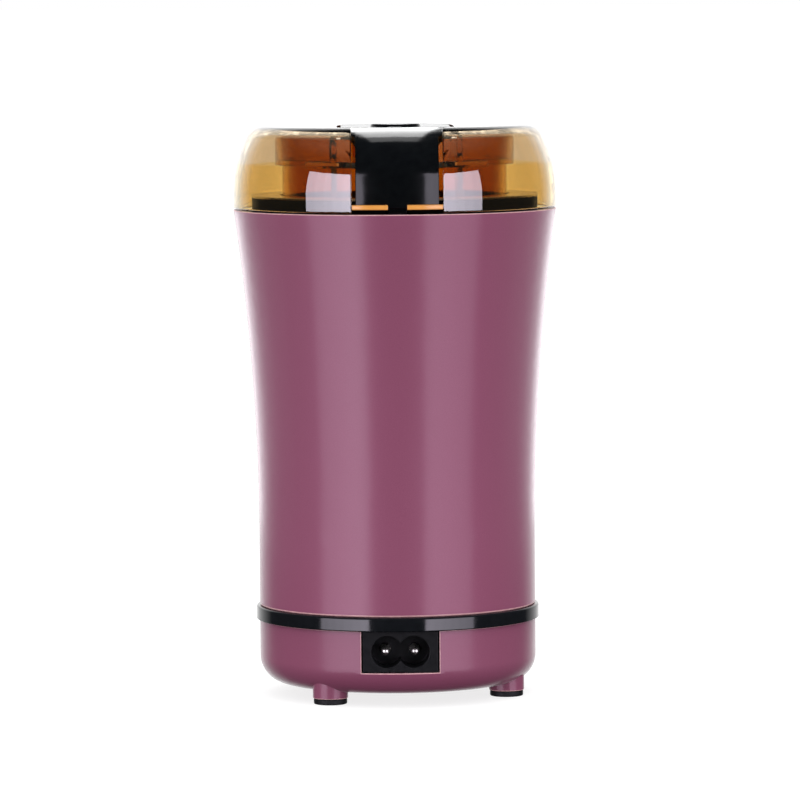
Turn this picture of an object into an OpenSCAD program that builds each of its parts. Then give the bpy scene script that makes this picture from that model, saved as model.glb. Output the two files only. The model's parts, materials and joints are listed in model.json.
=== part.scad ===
// Electric coffee grinder: a flared shell on a footed base, a see-through lid with a press lever,
// a steel bowl with a two-winged blade, and the series motor and switch that drive it.
// Millimetres, +Z up. The origin is on the floor under the middle of the body, and the inlet faces -Y.

/* [Housing shell] */
// Height of the shell from the trim ring to its top edge
body_h = 117.5; // [108:0.5:124]
// Outer diameter of the straight lower part of the shell
body_d = 82; // [78:0.5:88]
// Outer diameter of the flared top of the shell
body_top_d = 95.6; // [92:0.1:102]
// Height of the straight part under the flare
straight_h = 20; // [12:1:40]
// Wall thickness of the shell
shell_t = 2.2; // [1.8:0.1:2.8]
// Chamfer on the shell's top and bottom outer edges
shell_chamfer = 0.4; // [0.2:0.1:0.8]

/* [Base and feet] */
// Height of the base pan from its underside to the trim ring
base_h = 19; // [18:0.5:24]
// Radius of the rounded lower edge of the pan
base_fillet = 8; // [6:0.5:9]
// Wall thickness of the pan
base_t = 2.2; // [1.8:0.1:2.8]
// Height of the trim ring
ring_h = 4; // [3:0.5:6]
// How far the trim ring stands out past the shell
ring_proud = 1; // [0.6:0.1:1.6]
// Bevel on the trim ring's upper outer edge
ring_bevel = 0.4; // [0.2:0.1:1.2]
// Depth of the spigots that centre the shell and the pan on the trim ring
spigot_h = 3; // [2:0.5:4]
// Wall of those spigots
spigot_t = 1.4; // [1:0.1:2]
// Height of the pan's underside above the floor
foot_h = 3.6; // [3:0.1:6]
// Diameter of the foot bosses
foot_d = 10.4; // [9.6:0.2:12]
// Diameter of the rubber foot pads
pad_d = 9.8; // [9:0.2:11]
// Height of the rubber foot pads
pad_h = 1.7; // [1.2:0.1:2.4]
// Distance of the foot axes in from the side of the pan
foot_inset = 7.1; // [6.5:0.1:9]
// Direction of the left foot, counted from +X
foot_left_angle = 233; // [228:1:238]
// Direction of the right foot, counted from +X
foot_right_angle = 340; // [334:1:344]
// Diameter of the pillars that take the base screws
pillar_d = 7.2; // [6.4:0.2:8]
// Height of the pillars above the trim ring
pillar_rise = 13; // [10:1:20]
// Number of air slots in the floor of the pan
vent_count = 12; // [8:1:16]
// Width of one air slot
vent_w = 2.4; // [1.6:0.2:3]
// Length of one air slot
vent_l = 11; // [6:1:12]
// Distance from the middle to the start of the air slots
vent_start = 8; // [6:0.5:9]

/* [Mains inlet] */
// Width of the inlet housing
inlet_w = 22; // [20:0.5:24]
// Height of the inlet housing
inlet_h = 12; // [11:0.5:13]
// Depth of the inlet housing
inlet_depth = 12; // [11:0.5:13]
// Diameter of each lobe of the figure-of-eight socket
lobe_d = 9.2; // [8.6:0.1:9.6]
// Distance between the two lobe centres
lobe_pitch = 7.8; // [7:0.1:8.4]
// Depth of the socket
socket_depth = 9; // [8:0.5:9.5]
// Diameter of the contact pins
pin_d = 2.4; // [2.2:0.1:2.6]
// Distance between the contact pins
pin_pitch = 8.6; // [8.2:0.1:8.8]
// Diameter of the collar at each pin's root
pin_root_d = 3.2; // [3:0.1:3.4]
// Height of that collar above the socket's floor
pin_root_h = 0.6; // [0.4:0.1:1]
// Depth of the pin tips behind the inlet's face
pin_recess = 1.2; // [0.8:0.1:2]
// Length of the solder tags behind the inlet
tag_l = 4.5; // [3.5:0.5:5]

/* [Lid] */
// Height of the lid from its rim to its flat top
lid_h = 24.3; // [22:0.1:27]
// Wall thickness of the lid
lid_t = 2.2; // [1.8:0.1:2.6]
// How far the lid's rim stands out past the shell's top edge
lid_overhang = 0.2; // [0:0.1:0.6]
// Height of the straight part of the lid's side
rim_h = 4; // [3:0.5:6]
// Distance from the lid's side in to its flat top
crown_inset = 9.1; // [8.6:0.1:11]
// Radius of the shoulder between side and top
shoulder_r = 5.5; // [4:0.1:5.8]
// Wall of the skirt inside the lid
skirt_t = 1.8; // [1.4:0.1:2.2]
// How far the skirt reaches down into the bowl
skirt_depth = 3.5; // [2:0.5:5]
// Outward step of the skirt's upper part
skirt_step = 2.1; // [1.5:0.1:2.5]
// Depth of the lever pocket below the flat top
pocket_depth = 10; // [8.6:0.1:10.6]
// Wall of the lever pocket
pocket_t = 1.6; // [1.2:0.1:2]
// Height of the rim bars that cross the bottom of the lever opening
bar_h = 1.4; // [1:0.1:2]
// Height of the rim bars above the lid's rim
bar_rise = 0.9; // [0.5:0.1:1.5]
// Reach of the ledges beside the lever pocket, from the middle
ledge_reach = 26; // [22:0.5:30]

/* [Press lever] */
// Width of the lever's band down the side of the lid
lever_w = 24.2; // [20:0.2:26]
// Width of the pad on top of the lid
top_pad_w = 32; // [30:0.5:34]
// Thickness of the lever
lever_t = 2.2; // [1.8:0.1:2.6]
// Radius of the rounding from the lever's band to its top pad
lever_round = 16; // [12:0.5:17]
// Gap between the lever and the edge of its opening
lever_gap = 1.1; // [0.8:0.1:1.4]
// Length over which the band widens into the top pad
flare_l = 7; // [5:0.5:10]
// Distance of the hinge axis behind the middle of the lid
hinge_y = 4; // [2:0.5:7]
// Depth of the hinge axis below the flat top
hinge_drop = 5.1; // [4.6:0.1:5.4]
// Length of the top pad behind the hinge axis
pad_tail = 7; // [6:0.5:8]
// Diameter of the hinge pin
hinge_pin_d = 2; // [1.6:0.1:2.4]
// Diameter of the lever's hinge barrel
barrel_d = 4.8; // [4.4:0.2:5.4]
// Diameter of the raised thumb pad at its top
thumb_d = 14; // [10:0.5:18]
// Height of the raised thumb pad
thumb_h = 0.8; // [0.6:0.1:1.6]
// Slope of the thumb pad's edge, as its width seen from above
thumb_slope = 1; // [0.5:0.1:2]
// Travel of the lever's tongue when the lever is pressed
press_travel = 2; // [1.6:0.1:2.2]
// Width of the tongue that presses the push rod
tongue_w = 5.4; // [4:0.2:6]
// Thickness of the tongue
tongue_t = 2; // [1.6:0.1:2.4]
// Mean diameter of the lever's return spring
lever_spring_d = 6; // [5:0.2:7]
// Wire diameter of the lever's return spring
lever_wire_d = 0.7; // [0.5:0.05:0.8]
// Turns of the lever's return spring
lever_turns = 5; // [3:1:5]
// Distance from the hinge axis to the return spring
lever_spring_arm = 24; // [20:1:28]

/* [Bowl and collar] */
// Depth of the bowl inside
bowl_depth = 40; // [36:0.5:42]
// Sheet thickness of the bowl
bowl_t = 0.8; // [0.6:0.1:1]
// Radius of the bowl's lower edge
bowl_corner = 12; // [8:0.5:13]
// Height of the collar's ring above the shell's top edge
collar_rise = 3.6; // [3:0.1:4.2]
// Width of the collar's ring
collar_ring_w = 6.6; // [4:0.1:7]
// Depth of the collar's deck below the shell's top edge
deck_drop = 0.6; // [0.4:0.1:1]
// Thickness of the collar's deck
deck_t = 2.4; // [2:0.1:3]
// Wall of the collar's sleeve around the bowl
sleeve_t = 2.2; // [1.8:0.1:2.6]
// Thickness of the collar's floor over the motor
collar_floor_t = 3; // [2.8:0.1:3.6]
// Thickness of the shaft seal's flange
seal_t = 1; // [0.8:0.1:1.6]
// Diameter of the shaft seal's neck
seal_neck_d = 12; // [11:0.5:14]
// Height of the screw lugs below the collar's deck
lug_drop = 8.6; // [7:0.2:12]
// Thickness of the screw lugs
lug_t = 3; // [2.4:0.2:4]
// Diameter of the screw lugs
lug_d = 5; // [4.8:0.1:5.4]

/* [Switch gear] */
// Width of the push rod
rod_w = 5; // [4:0.2:6]
// Thickness of the push rod
rod_t = 2; // [1.6:0.1:2.4]
// Height of the push rod's head
rod_head_h = 3; // [2.4:0.2:4]
// Thickness of the push rod's toe
toe_t = 2.4; // [2:0.1:3]
// Length of the switch body
switch_w = 19.8; // [18:0.2:20]
// Thickness of the switch body
switch_t = 6.4; // [5.8:0.1:6.4]
// Height of the switch body
switch_h = 10; // [9:0.2:11]
// Diameter of the switch plunger
plunger_d = 2.6; // [2:0.1:3]
// Distance from the rod's inner face to the plunger's axis
plunger_offset = 3.2; // [3:0.1:3.6]
// Distance between the switch's fixing pegs
peg_pitch = 9.5; // [8:0.1:11]
// Thickness of the collar's leg behind the switch
leg_t = 2; // [1.6:0.1:2.2]
// Length of the switch terminals
terminal_l = 5; // [4:0.5:6]
// Distance between the switch terminals
terminal_pitch = 13; // [11:0.5:14]

/* [Motor] */
// Width of the stator stack
stack_w = 54; // [50:0.5:56]
// Depth of the stator stack
stack_d = 44; // [42:0.5:46]
// Height of the stator stack
stack_h = 30; // [26:0.5:32]
// Diameter of the stator bore
stator_bore = 29.6; // [28:0.2:30]
// Width of the pole necks inside the coils
neck_w = 18; // [16:0.5:19]
// Thickness of the yoke around the coils
yoke_t = 6; // [5.4:0.1:6.2]
// Height of the field coil ends above and below the stack
coil_end = 8; // [6:0.5:8]
// Thickness of the motor frames
frame_t = 4; // [3:0.5:5]
// Room between the upper frame and the stack
head_room = 12; // [11:0.5:14]
// Room between the stack and the lower frame
brush_room = 22; // [21:0.5:23]
// Distance of the tie screws from the middle, across
tie_x = 18; // [17:0.5:19]
// Distance of the tie screws from the middle, front to back
tie_y = 19; // [18.5:0.1:19.5]
// Diameter of the posts around the tie screws
post_d = 5.2; // [4.8:0.2:5.6]
// Outer diameter of the bearings
bearing_d = 12; // [11:0.5:13]
// Length of the bearings
bearing_l = 8; // [7:0.5:9]
// Wall of the frames around the bearings
bearing_wall = 2.5; // [2:0.1:3]
// Thickness of the rubber dampers over the upper frame
damper_t = 2; // [1.5:0.1:2.5]
// Diameter of the rubber dampers
damper_d = 10; // [8:0.5:11]
// Distance of the motor screws from the middle
motor_screw_r = 17; // [16.5:0.5:18]
// Width of the carbon brushes
brush_w = 5; // [4:0.2:5.6]
// Height of the carbon brushes
brush_h = 7; // [6:0.2:7.4]
// Length of the carbon brushes
brush_l = 12; // [10:0.5:13]
// Wall of the brush holders
holder_t = 0.8; // [0.6:0.1:1]
// Room for the spring behind each carbon brush
brush_spring_room = 4.4; // [4.2:0.1:5]
// Wire diameter of the brush springs
brush_wire_d = 0.45; // [0.35:0.05:0.5]
// Turns of the brush springs
brush_turns = 4; // [3:1:4]

/* [Rotor and blade] */
// Diameter of the motor shaft
shaft_d = 6; // [5:0.1:6.4]
// Diameter of the shaft's threaded end
thread_d = 5; // [4:0.1:5]
// Air gap between armature and stator
air_gap = 0.6; // [0.4:0.1:1]
// Number of armature slots
slot_count = 12; // [8:1:14]
// Width of the armature slots
slot_w = 2.4; // [2:0.1:3]
// Depth of the armature slots
slot_depth = 5; // [4:0.2:6]
// Height of the armature's winding ends
winding_end = 7.5; // [6:0.5:8]
// Diameter of the commutator
commutator_d = 18; // [16:0.5:19]
// Length of the commutator
commutator_l = 11; // [10:0.5:12]
// Diameter of the cooling fan
fan_d = 38; // [32:1:40]
// Height of the cooling fan
fan_h = 9; // [7:0.5:10]
// Number of fan blades
fan_blades = 9; // [6:1:12]
// Height of the blade above the bowl's floor
blade_rise = 5; // [4.6:0.2:8]
// Span of the blade
blade_span = 56; // [50:0.5:58]
// Sheet thickness of the blade
blade_t = 1.5; // [1.2:0.1:2]
// Width of the blade's wings at the root
blade_w = 12; // [10:0.5:13]
// Pitch of the blade's wings
blade_pitch = 12; // [6:1:15]
// Diameter of the washer under the blade
washer_d = 13; // [12:0.5:16]
// Thickness of the washer under the blade
washer_t = 1; // [0.8:0.1:1.5]
// Size of the blade nut across its corners
nut_d = 11.5; // [10:0.5:13]
// Height of the blade nut
nut_h = 6; // [5:0.5:8]

/* [Screws and fits] */
// Diameter of the screws' shanks
screw_d = 3; // [2.6:0.1:3.2]
// Diameter of the screws' heads
screw_head_d = 4.8; // [4.4:0.1:5]
// Height of the screws' heads
screw_head_h = 1.9; // [1.6:0.1:2.1]
// Radial clearance of pieces that are pressed or screwed together
press_gap = 0.02; // [0.01:0.01:0.04]
// Radial running clearance of the shaft and the hinge pin
run_gap = 0.06; // [0.04:0.01:0.1]
// Clearance between pieces that are fitted side by side
fit_gap = 0.2; // [0.1:0.05:0.3]
// Clearance between pieces that move past each other
slide_gap = 0.4; // [0.3:0.05:0.5]
// Gap between the lid's rim and the shell's top edge
seam_gap = 0.5; // [0.2:0.05:0.6]

/* [Hidden] */
$fn = 64;
// Sides drawn on the wide, shallow arcs, and steps along each arc of the lid
arc_fn = 360;
arc_steps = 6;
flare_steps = 16;
// Overshoot of cuts past the faces that they open
past = 1;
// Points in one turn of a spring, sides of its wire and of a lead, and a direction that none starts along
turn_points = 8;
wire_sides = 6;
lead_sides = 8;
side_hint = [0.36, 0.48, 0.8];

// Levels from the floor up
base_z = foot_h;
ring_z = base_z + base_h;
body_z = ring_z + ring_h;
flare_z = body_z + straight_h;
seam_z = body_z + body_h;
lid_z = seam_z + seam_gap;
top_z = lid_z + lid_h;

// The shell's flare is one wide arc that starts upright
body_r = body_d / 2;
body_top_r = body_top_d / 2;
flare_h = body_h - straight_h;
flare_step = body_top_r - body_r;
flare_bow = (flare_step * flare_step + flare_h * flare_h) / (2 * flare_step);
function shell_in(z) = body_r + flare_bow - sqrt(pow(flare_bow + shell_t, 2) - pow(max(0, z - flare_z), 2));

// Feet
foot_r = body_r - foot_inset;
foot_back_angle = (foot_left_angle + foot_right_angle) / 2 - 180;
foot_angles = [foot_left_angle, foot_right_angle, foot_back_angle];
boss_z = base_z + base_fillet + base_t;
spigot_r = body_r - max(shell_t, base_t) - fit_gap;

// Inlet
inlet_z = ring_z - fit_gap / 2 - inlet_h / 2;
inlet_face = sqrt(body_r * body_r - inlet_w * inlet_w / 4);
inlet_back = inlet_face - inlet_depth;
inlet_lip = 2;
inlet_lip_front = sqrt(pow(body_r - base_t, 2) - pow(inlet_w / 2 + inlet_lip, 2)) - fit_gap;
tag_h = 4;
tag_t = 0.8;

// Lid and lever share the height of the crown, and the lever's side stands in behind the lid's wall
lid_r = body_top_r + lid_overhang;
crown_r = lid_r - crown_inset;
lever_r = lid_r - lid_t;
side_rise = lid_h - rim_h;
side_bow = (pow(crown_inset, 2) + pow(side_rise, 2) - 2 * side_rise * shoulder_r)
    / (2 * (crown_inset - shoulder_r));

// Collar and bowl, from the top of the shell down
deck_z = seam_z - deck_drop;
deck_under = deck_z - deck_t;
deck_r = shell_in(deck_under) - slide_gap;
collar_top = seam_z + collar_rise;
bowl_rim = collar_top + bowl_t;
bowl_floor = bowl_rim - bowl_depth;
collar_floor = bowl_floor - bowl_t - seal_t;
collar_under = collar_floor - collar_floor_t;

// Push rod: its toe hangs under the collar's floor, and its stem runs between shell and sleeve;
// the sleeve leaves room for the rod and for the heads of the collar screws
toe_top = collar_under - slide_gap;
toe_under = toe_top - toe_t;
rod_out = shell_in(toe_under - press_travel) - slide_gap - pow(rod_w / 2, 2) / body_d;
rod_in = rod_out - rod_t;
lug_z = deck_under - lug_drop;
lug_head_z = lug_z - lug_t - screw_head_h;
sleeve_r = min(rod_in - slide_gap, shell_in(lug_head_z) - 2 * slide_gap - screw_head_d);
bowl_r = sleeve_r - sleeve_t - slide_gap * 2 - bowl_t;
collar_ring_r = sleeve_r - sleeve_t + collar_ring_w;

// Tongue and rod head meet in the deck's slot
tongue_out = deck_r - slide_gap;
tongue_in = tongue_out - tongue_t;
head_top = deck_z - deck_t * 2 / 3;
tongue_z = head_top + slide_gap;
head_under = head_top - rod_head_h;
head_out = shell_in(head_under - press_travel) - slide_gap - pow(tongue_w / 2, 2) / body_d;
head_w = tongue_w + 2 * slide_gap;
slot_half = head_w / 2 + slide_gap;

// Lever
hinge_z = top_z - hinge_drop;
press_angle = asin(press_travel / (hinge_y + (tongue_in + tongue_out) / 2));
tongue_sway = (hinge_z - tongue_z) * sin(press_angle);
band_z = deck_z + press_travel + slide_gap;
pad_end_y = hinge_y + pad_tail - top_pad_w / 2;
flare_end = lever_r - lever_round;
spring_y = hinge_y - lever_spring_arm;

// Lever pocket in the lid
pocket_z = top_z - pocket_depth;
pocket_floor_t = 1.8;
pocket_half = top_pad_w / 2 + lever_gap;
pocket_end = hinge_y + pad_tail + lever_gap;
ear_inset = 5.8;
ear_in = top_pad_w / 2 - ear_inset;
ear_t = 2.2;
stub_h = 1.5;
channel_z = bowl_rim + slide_gap * 2;

// Skirt inside the lid
skirt_r = bowl_r - slide_gap * 2;
skirt_z = bowl_rim - skirt_depth;
skirt_up_r = skirt_r + skirt_step;

// Switch
plunger_y = rod_in - plunger_offset;
plunger_out = 1.8;
switch_top = toe_under - press_travel - plunger_out;
switch_z = switch_top - switch_h;
leg_face = plunger_y - switch_t / 2 - fit_gap / 2;
peg_d = 2.4;
terminal_w = 3.2;
terminal_t = 0.6;

// Collar screws
lug_r = sleeve_r + slide_gap + lug_d / 2;
lug_angles = [90, 210, 330];

// Motor, hung from the collar's floor
frame_top_z = collar_under - damper_t;
stack_top = frame_top_z - frame_t - head_room;
stack_z = stack_top - stack_h;
low_frame_z = stack_z - brush_room - frame_t;
low_frame_top = low_frame_z + frame_t;
frame_rim = 0.5;
frame_r = norm([tie_x, tie_y]) + post_d / 2 + frame_rim;
boss_r = bearing_d / 2 + bearing_wall;
motor_screw_angles = [90, 210, 330];

// Stator windows: the coils lie between the pole necks and the yoke
pole_lip = 0.5;
horn_reach = 2.3;
stack_corner = 3;
bore_r = stator_bore / 2;
window_in = bore_r + pole_lip;
window_out = stack_w / 2 - yoke_t;
window_y = stack_d / 2 - yoke_t;
horn_y = bore_r - horn_reach;

// Rotor
shaft_r = shaft_d / 2;
blade_z = bowl_floor + blade_rise;
armature_r = bore_r - air_gap;
commutator_r = commutator_d / 2;
commutator_rise = 2;
commutator_z = low_frame_top + commutator_rise;
fan_drop = 1;
fan_z = low_frame_top - bearing_l - fan_drop - fan_h;
shaft_z = fan_z;
nut_cap = 1.5;
thread_l = washer_t + blade_t + nut_h - nut_cap;
winding_inset = 1;

// Brushes
brush_z = commutator_z + commutator_l / 2;
brush_in = commutator_r + fit_gap;
brush_out = 1.5;
holder_in = brush_in + brush_out;
holder_room_end = brush_in + brush_l + brush_spring_room;
holder_out = holder_room_end + holder_t;
holder_half_w = brush_w / 2 + fit_gap / 2 + holder_t;
holder_half_h = brush_h / 2 + fit_gap / 2 + holder_t;
saddle_t = 1.6;

// Leads: each runs in steps chosen by hand from the tag or terminal that it starts at to the one it reaches
lead_d = 1.8;
lead_step = 4;
lead_gap = 0.3;
tag_end = [pin_pitch / 2, tag_l / 2 - inlet_back, inlet_z + tag_h / 2 + lead_gap];
terminal_end = [terminal_pitch / 2, -plunger_y, switch_z - terminal_l - lead_gap];
holder_end = [holder_room_end - saddle_t, -holder_half_w - lead_gap, brush_z + lead_d / 2 + saddle_t];
function on_left(p) = [-p.x, p.y, p.z];
function steps_from(end, steps) = [for (s = steps) end + s];
live_route = concat(
    steps_from(on_left(tag_end), [[0, 0, 0], [-0.2, -0.2, 3.3], [-1.7, -4, 6.3], [-3.7, -8.5, 9.3]]),
    steps_from(on_left(tag_end), [[-3.7, -10, 17], [-3.2, -10, 27]]),
    steps_from(on_left(terminal_end), [[-0.3, 0, -18], [0, 0, -5], [0, 0, 0]]));
neutral_route = concat(
    steps_from(tag_end, [[0, 0, 0], [0, -0.5, 3.8], [-4.3, -4.5, 7.8], [-12.3, -5.3, 11]]),
    steps_from(on_left(holder_end), [[11, -26.05, -5.4], [4.5, -23, 1.5], [-0.5, -16.3, 3], [-2, -8.3, 2]]),
    steps_from(on_left(holder_end), [[-0.5, -2.8, 0.5], [0, 0, 0]]));
motor_route = concat(
    steps_from(terminal_end, [[0, 0, 0], [0, 0, -4], [2.5, 1.5, -14], [9.5, 5.5, -26]]),
    steps_from(holder_end, [[-1, -18.3, 5], [1.5, -8.3, 2], [0.5, -2.8, 0.5], [0, 0, 0]]));

// Colours
mauve = [0.53, 0.30, 0.40];
black = [0.06, 0.07, 0.08];
amber = [0.85, 0.55, 0.18, 0.6];
deep_amber = [0.60, 0.30, 0.08, 0.7];
rubber = [0.10, 0.10, 0.10];
steel = [0.75, 0.76, 0.78];
zinc = [0.62, 0.64, 0.66];
copper = [0.72, 0.42, 0.24];
brass = [0.80, 0.66, 0.34];
iron = [0.38, 0.38, 0.40];
carbon = [0.20, 0.20, 0.21];
cream = [0.85, 0.82, 0.74];

// Small tools

function unit(v) = v / norm(v);

// Points along an arc, without its first one
function arc_points(centre, r, from, to, steps = arc_steps) =
    [for (k = [1:steps])
        let (a = from + (to - from) * k / steps)
        centre + r * [cos(a), sin(a)]];

// The part of a disc between two angles that lies outside their chord
module bulge(centre, r, from, to) {
    mid = (from + to) / 2;
    far = 2 * r;
    intersection() {
        translate(centre)
            circle(r = r, $fn = arc_fn);
        polygon([for (p = [[r, from], [far, from], [far, mid], [far, to], [r, to]])
            centre + p[0] * [cos(p[1]), sin(p[1])]]);
    }
}

module tube(r_out, r_in, h) {
    difference() {
        cylinder(r = r_out, h = h);
        translate([0, 0, -past])
            cylinder(r = r_in, h = h + 2 * past);
    }
}

// A box given by its lowest and highest corners
module block(low, high) {
    translate(low)
        cube(high - low);
}

// Copies around the Z axis at a radius, one for each angle
module around(r, angles) {
    for (a = angles)
        rotate(a)
            translate([r, 0, 0])
                children();
}

// A screw with its head's top face at the origin, pointing along -Z
module screw(shank_l) {
    translate([0, 0, -screw_head_h])
        cylinder(d = screw_head_d, h = screw_head_h);
    translate([0, 0, -screw_head_h - shank_l])
        cylinder(d = screw_d, h = shank_l + past / 2);
}

// Tubes along a route: the frame turns as little as possible from ring to ring
function carry(n, t) = unit(n - (n * t) * t);
function tangent(p, i) = unit(p[min(i + 1, len(p) - 1)] - p[max(i - 1, 0)]);
function normals(p, first, i = 0) =
    i == len(p) ? [] : let (n = carry(first, tangent(p, i))) concat([n], normals(p, n, i + 1));
function between(p, i, u) =
    let (a = p[max(i - 1, 0)], b = p[i], c = p[i + 1], d = p[min(i + 2, len(p) - 1)])
    b + u * ((c - a) / 2 + u * (a - 2.5 * b + 2 * c - d / 2 + u * (1.5 * (b - c) + (d - a) / 2)));
function smooth(p, step) = concat(
    [for (i = [0:len(p) - 2])
        let (n = max(1, round(norm(p[i + 1] - p[i]) / step)))
        for (k = [0:n - 1]) between(p, i, k / n)],
    [p[len(p) - 1]]);

module swept_tube(p, r, sides) {
    n = normals(p, carry(side_hint, tangent(p, 0)));
    rings = len(p);
    points = [for (i = [0:rings - 1])
        let (b = cross(tangent(p, i), n[i]))
        for (k = [0:sides - 1]) p[i] + r * (cos(360 * k / sides) * n[i] + sin(360 * k / sides) * b)];
    skin = [for (i = [0:rings - 2]) for (k = [0:sides - 1])
        let (a = i * sides + k, b = i * sides + (k + 1) % sides)
        each [[a, a + sides, b], [b, a + sides, b + sides]]];
    caps = [for (k = [1:sides - 2])
        let (last = (rings - 1) * sides)
        each [[0, k, k + 1], [last, last + k + 1, last + k]]];
    polyhedron(points, concat(skin, caps));
}

// A spring's wire is a plain helix, and its least gap lies between points about one turn apart
function spring_path(d, turns, length) =
    [for (k = [0:turn_points * turns])
        let (angle = 360 * k / turn_points, share = k / (turn_points * turns))
        [d / 2 * cos(angle), d / 2 * sin(angle), length * share]];
function least_gap(p, wire_d) =
    min([for (i = [0:len(p) - turn_points])
        for (j = [i + turn_points - 1:min(i + turn_points + 1, len(p) - 1)]) norm(p[j] - p[i])]) - wire_d;

module spring(d, wire_d, turns, length) {
    path = spring_path(d, turns, length - wire_d);
    echo(spring_gap = least_gap(path, wire_d));
    translate([0, 0, wire_d / 2])
        swept_tube(path, wire_d / 2, wire_sides);
}

// Shell, trim ring and base

// Everything inside the shell's outer line, drawn in by inset
module shell_region(inset, over) {
    centre = [body_r + flare_bow, flare_z];
    turn = asin(flare_h / (flare_bow + inset));
    flare = arc_points(centre, flare_bow + inset, 180, 180 - turn, flare_steps);
    top_edge = flare[flare_steps - 1].x;
    polygon(concat(
        [[0, body_z - over], [body_r - inset, body_z - over], [body_r - inset, flare_z]],
        flare,
        [[top_edge, seam_z + over], [0, seam_z + over]]));
}

module shell_wall() {
    rotate_extrude()
        difference() {
            shell_region(0, 0);
            shell_region(shell_t, past);
            polygon([[body_top_r - shell_chamfer, seam_z + past], [body_top_r + past, seam_z + past],
                [body_top_r + past, seam_z - shell_chamfer - past]]);
            polygon([[body_r - shell_chamfer, body_z], [body_r + past, body_z - past],
                [body_r + past, body_z + shell_chamfer + past]]);
        }
}

// A pillar for a base screw, hung from the shell's wall by a rib above the spigot
module pillar() {
    rib_z = body_z + spigot_h + fit_gap;
    top = body_z + pillar_rise;
    translate([0, 0, boss_z])
        cylinder(d = pillar_d, h = top - boss_z);
    translate([0, -pillar_d / 4, rib_z])
        cube([foot_inset - shell_t / 2, pillar_d / 2, top - rib_z]);
}

// A lug for a collar screw, reaching in from the shell's wall
module lug() {
    wall = (shell_in(lug_z - lug_t) + shell_in(lug_z)) / 2;
    translate([0, 0, lug_z - lug_t]) {
        cylinder(d = lug_d, h = lug_t);
        translate([0, -lug_d / 2, 0])
            cube([wall - lug_r + shell_t / 2, lug_d, lug_t]);
    }
}

module body_shell() {
    pilot = screw_d + 2 * press_gap;
    color(mauve)
        difference() {
            union() {
                shell_wall();
                around(foot_r, foot_angles)
                    pillar();
                around(lug_r, lug_angles)
                    lug();
            }
            around(foot_r, foot_angles)
                translate([0, 0, boss_z - past])
                    cylinder(d = pilot, h = body_z + pillar_rise - boss_z - shell_t + past);
            around(lug_r, lug_angles)
                translate([0, 0, lug_z - lug_t - past])
                    cylinder(d = pilot + fit_gap, h = lug_t + 2 * past);
        }
}

module trim_ring() {
    inlet_room = inlet_w / 2 + inlet_lip + slide_gap;
    ring_r = body_r + ring_proud;
    color(black)
        difference() {
            rotate_extrude() {
                translate([spigot_r - spigot_t, ring_z - spigot_h])
                    square([spigot_t, ring_h + 2 * spigot_h]);
                polygon([[spigot_r - spigot_t, ring_z], [ring_r - ring_bevel / 3, ring_z],
                    [ring_r, ring_z + ring_bevel / 3], [ring_r, body_z - ring_bevel],
                    [ring_r - ring_bevel, body_z], [spigot_r - spigot_t, body_z]]);
            }
            around(foot_r, foot_angles)
                translate([0, 0, ring_z - spigot_h - past])
                    cylinder(d = pillar_d + 2 * slide_gap, h = ring_h + 2 * spigot_h + 2 * past);
            block([-inlet_room, -body_r, ring_z - spigot_h - past], [inlet_room, 0, ring_z]);
        }
}

// Everything inside the pan's outer line, drawn in by inset
module pan_region(inset) {
    turn = [body_r - base_fillet, base_z + base_fillet];
    polygon([[0, base_z + inset], [turn.x, base_z + inset], [body_r - inset, turn.y],
        [body_r - inset, ring_z], [0, ring_z]]);
    bulge(turn, base_fillet - inset, -90, 0);
}

module pan_wall() {
    rotate_extrude()
        difference() {
            pan_region(0);
            union() {
                pan_region(base_t);
                translate([0, ring_z - past])
                    square([body_r - base_t, 2 * past]);
            }
        }
}

// The cradle that carries the inlet, with a stop behind it between the tags
module inlet_cradle() {
    under = inlet_z - inlet_h / 2 - fit_gap / 2;
    floor_z = base_z + base_t / 2;
    stop_w = (pin_pitch - pin_root_d) / 2 - slide_gap;
    block([-inlet_w / 3, -inlet_lip_front + inlet_lip, floor_z], [inlet_w / 3, -inlet_back, under]);
    block([-stop_w, -inlet_back + fit_gap / 2, floor_z], [stop_w, -inlet_back + base_t, inlet_z]);
}

module base_pan() {
    notch_w = inlet_w / 2 + slide_gap;
    notch_z = inlet_z - inlet_h / 2 - fit_gap;
    head_room_z = base_z + base_t;
    color(mauve)
        difference() {
            union() {
                pan_wall();
                around(foot_r, foot_angles)
                    translate([0, 0, pad_h])
                        cylinder(d = foot_d, h = boss_z - pad_h);
                inlet_cradle();
            }
            around(foot_r, foot_angles) {
                translate([0, 0, pad_h - past])
                    cylinder(d = screw_head_d + 2 * fit_gap, h = head_room_z - pad_h + past);
                cylinder(d = screw_d + 2 * fit_gap, h = boss_z + past);
            }
            block([-notch_w, -body_r - past, notch_z], [notch_w, -inlet_back, ring_z + past]);
            around(vent_start, [for (k = [0:vent_count - 1]) 360 * k / vent_count])
                translate([0, -vent_w / 2, base_z - past])
                    cube([vent_l, vent_w, base_t + 2 * past]);
        }
}

// A pad with the plug that holds it in its foot boss
module foot_pad(angle) {
    plug_h = base_z + base_t - pad_h - screw_head_h - fit_gap;
    color(rubber)
        around(foot_r, [angle]) {
            cylinder(d = pad_d, h = pad_h);
            cylinder(d = screw_head_d, h = pad_h + plug_h);
        }
}

module foot_pad_left() {
    foot_pad(foot_left_angle);
}

module foot_pad_right() {
    foot_pad(foot_right_angle);
}

module foot_pad_back() {
    foot_pad(foot_back_angle);
}

module base_screws() {
    color(zinc)
        around(foot_r, foot_angles)
            translate([0, 0, base_z + base_t - screw_head_h])
                mirror([0, 0, 1])
                    screw(boss_z - base_z - base_t + pillar_rise / 2);
}

// Mains inlet

module inlet_pin_place(side) {
    translate([side * pin_pitch / 2, -inlet_face, inlet_z])
        rotate([-90, 0, 0])
            children();
}

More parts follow.
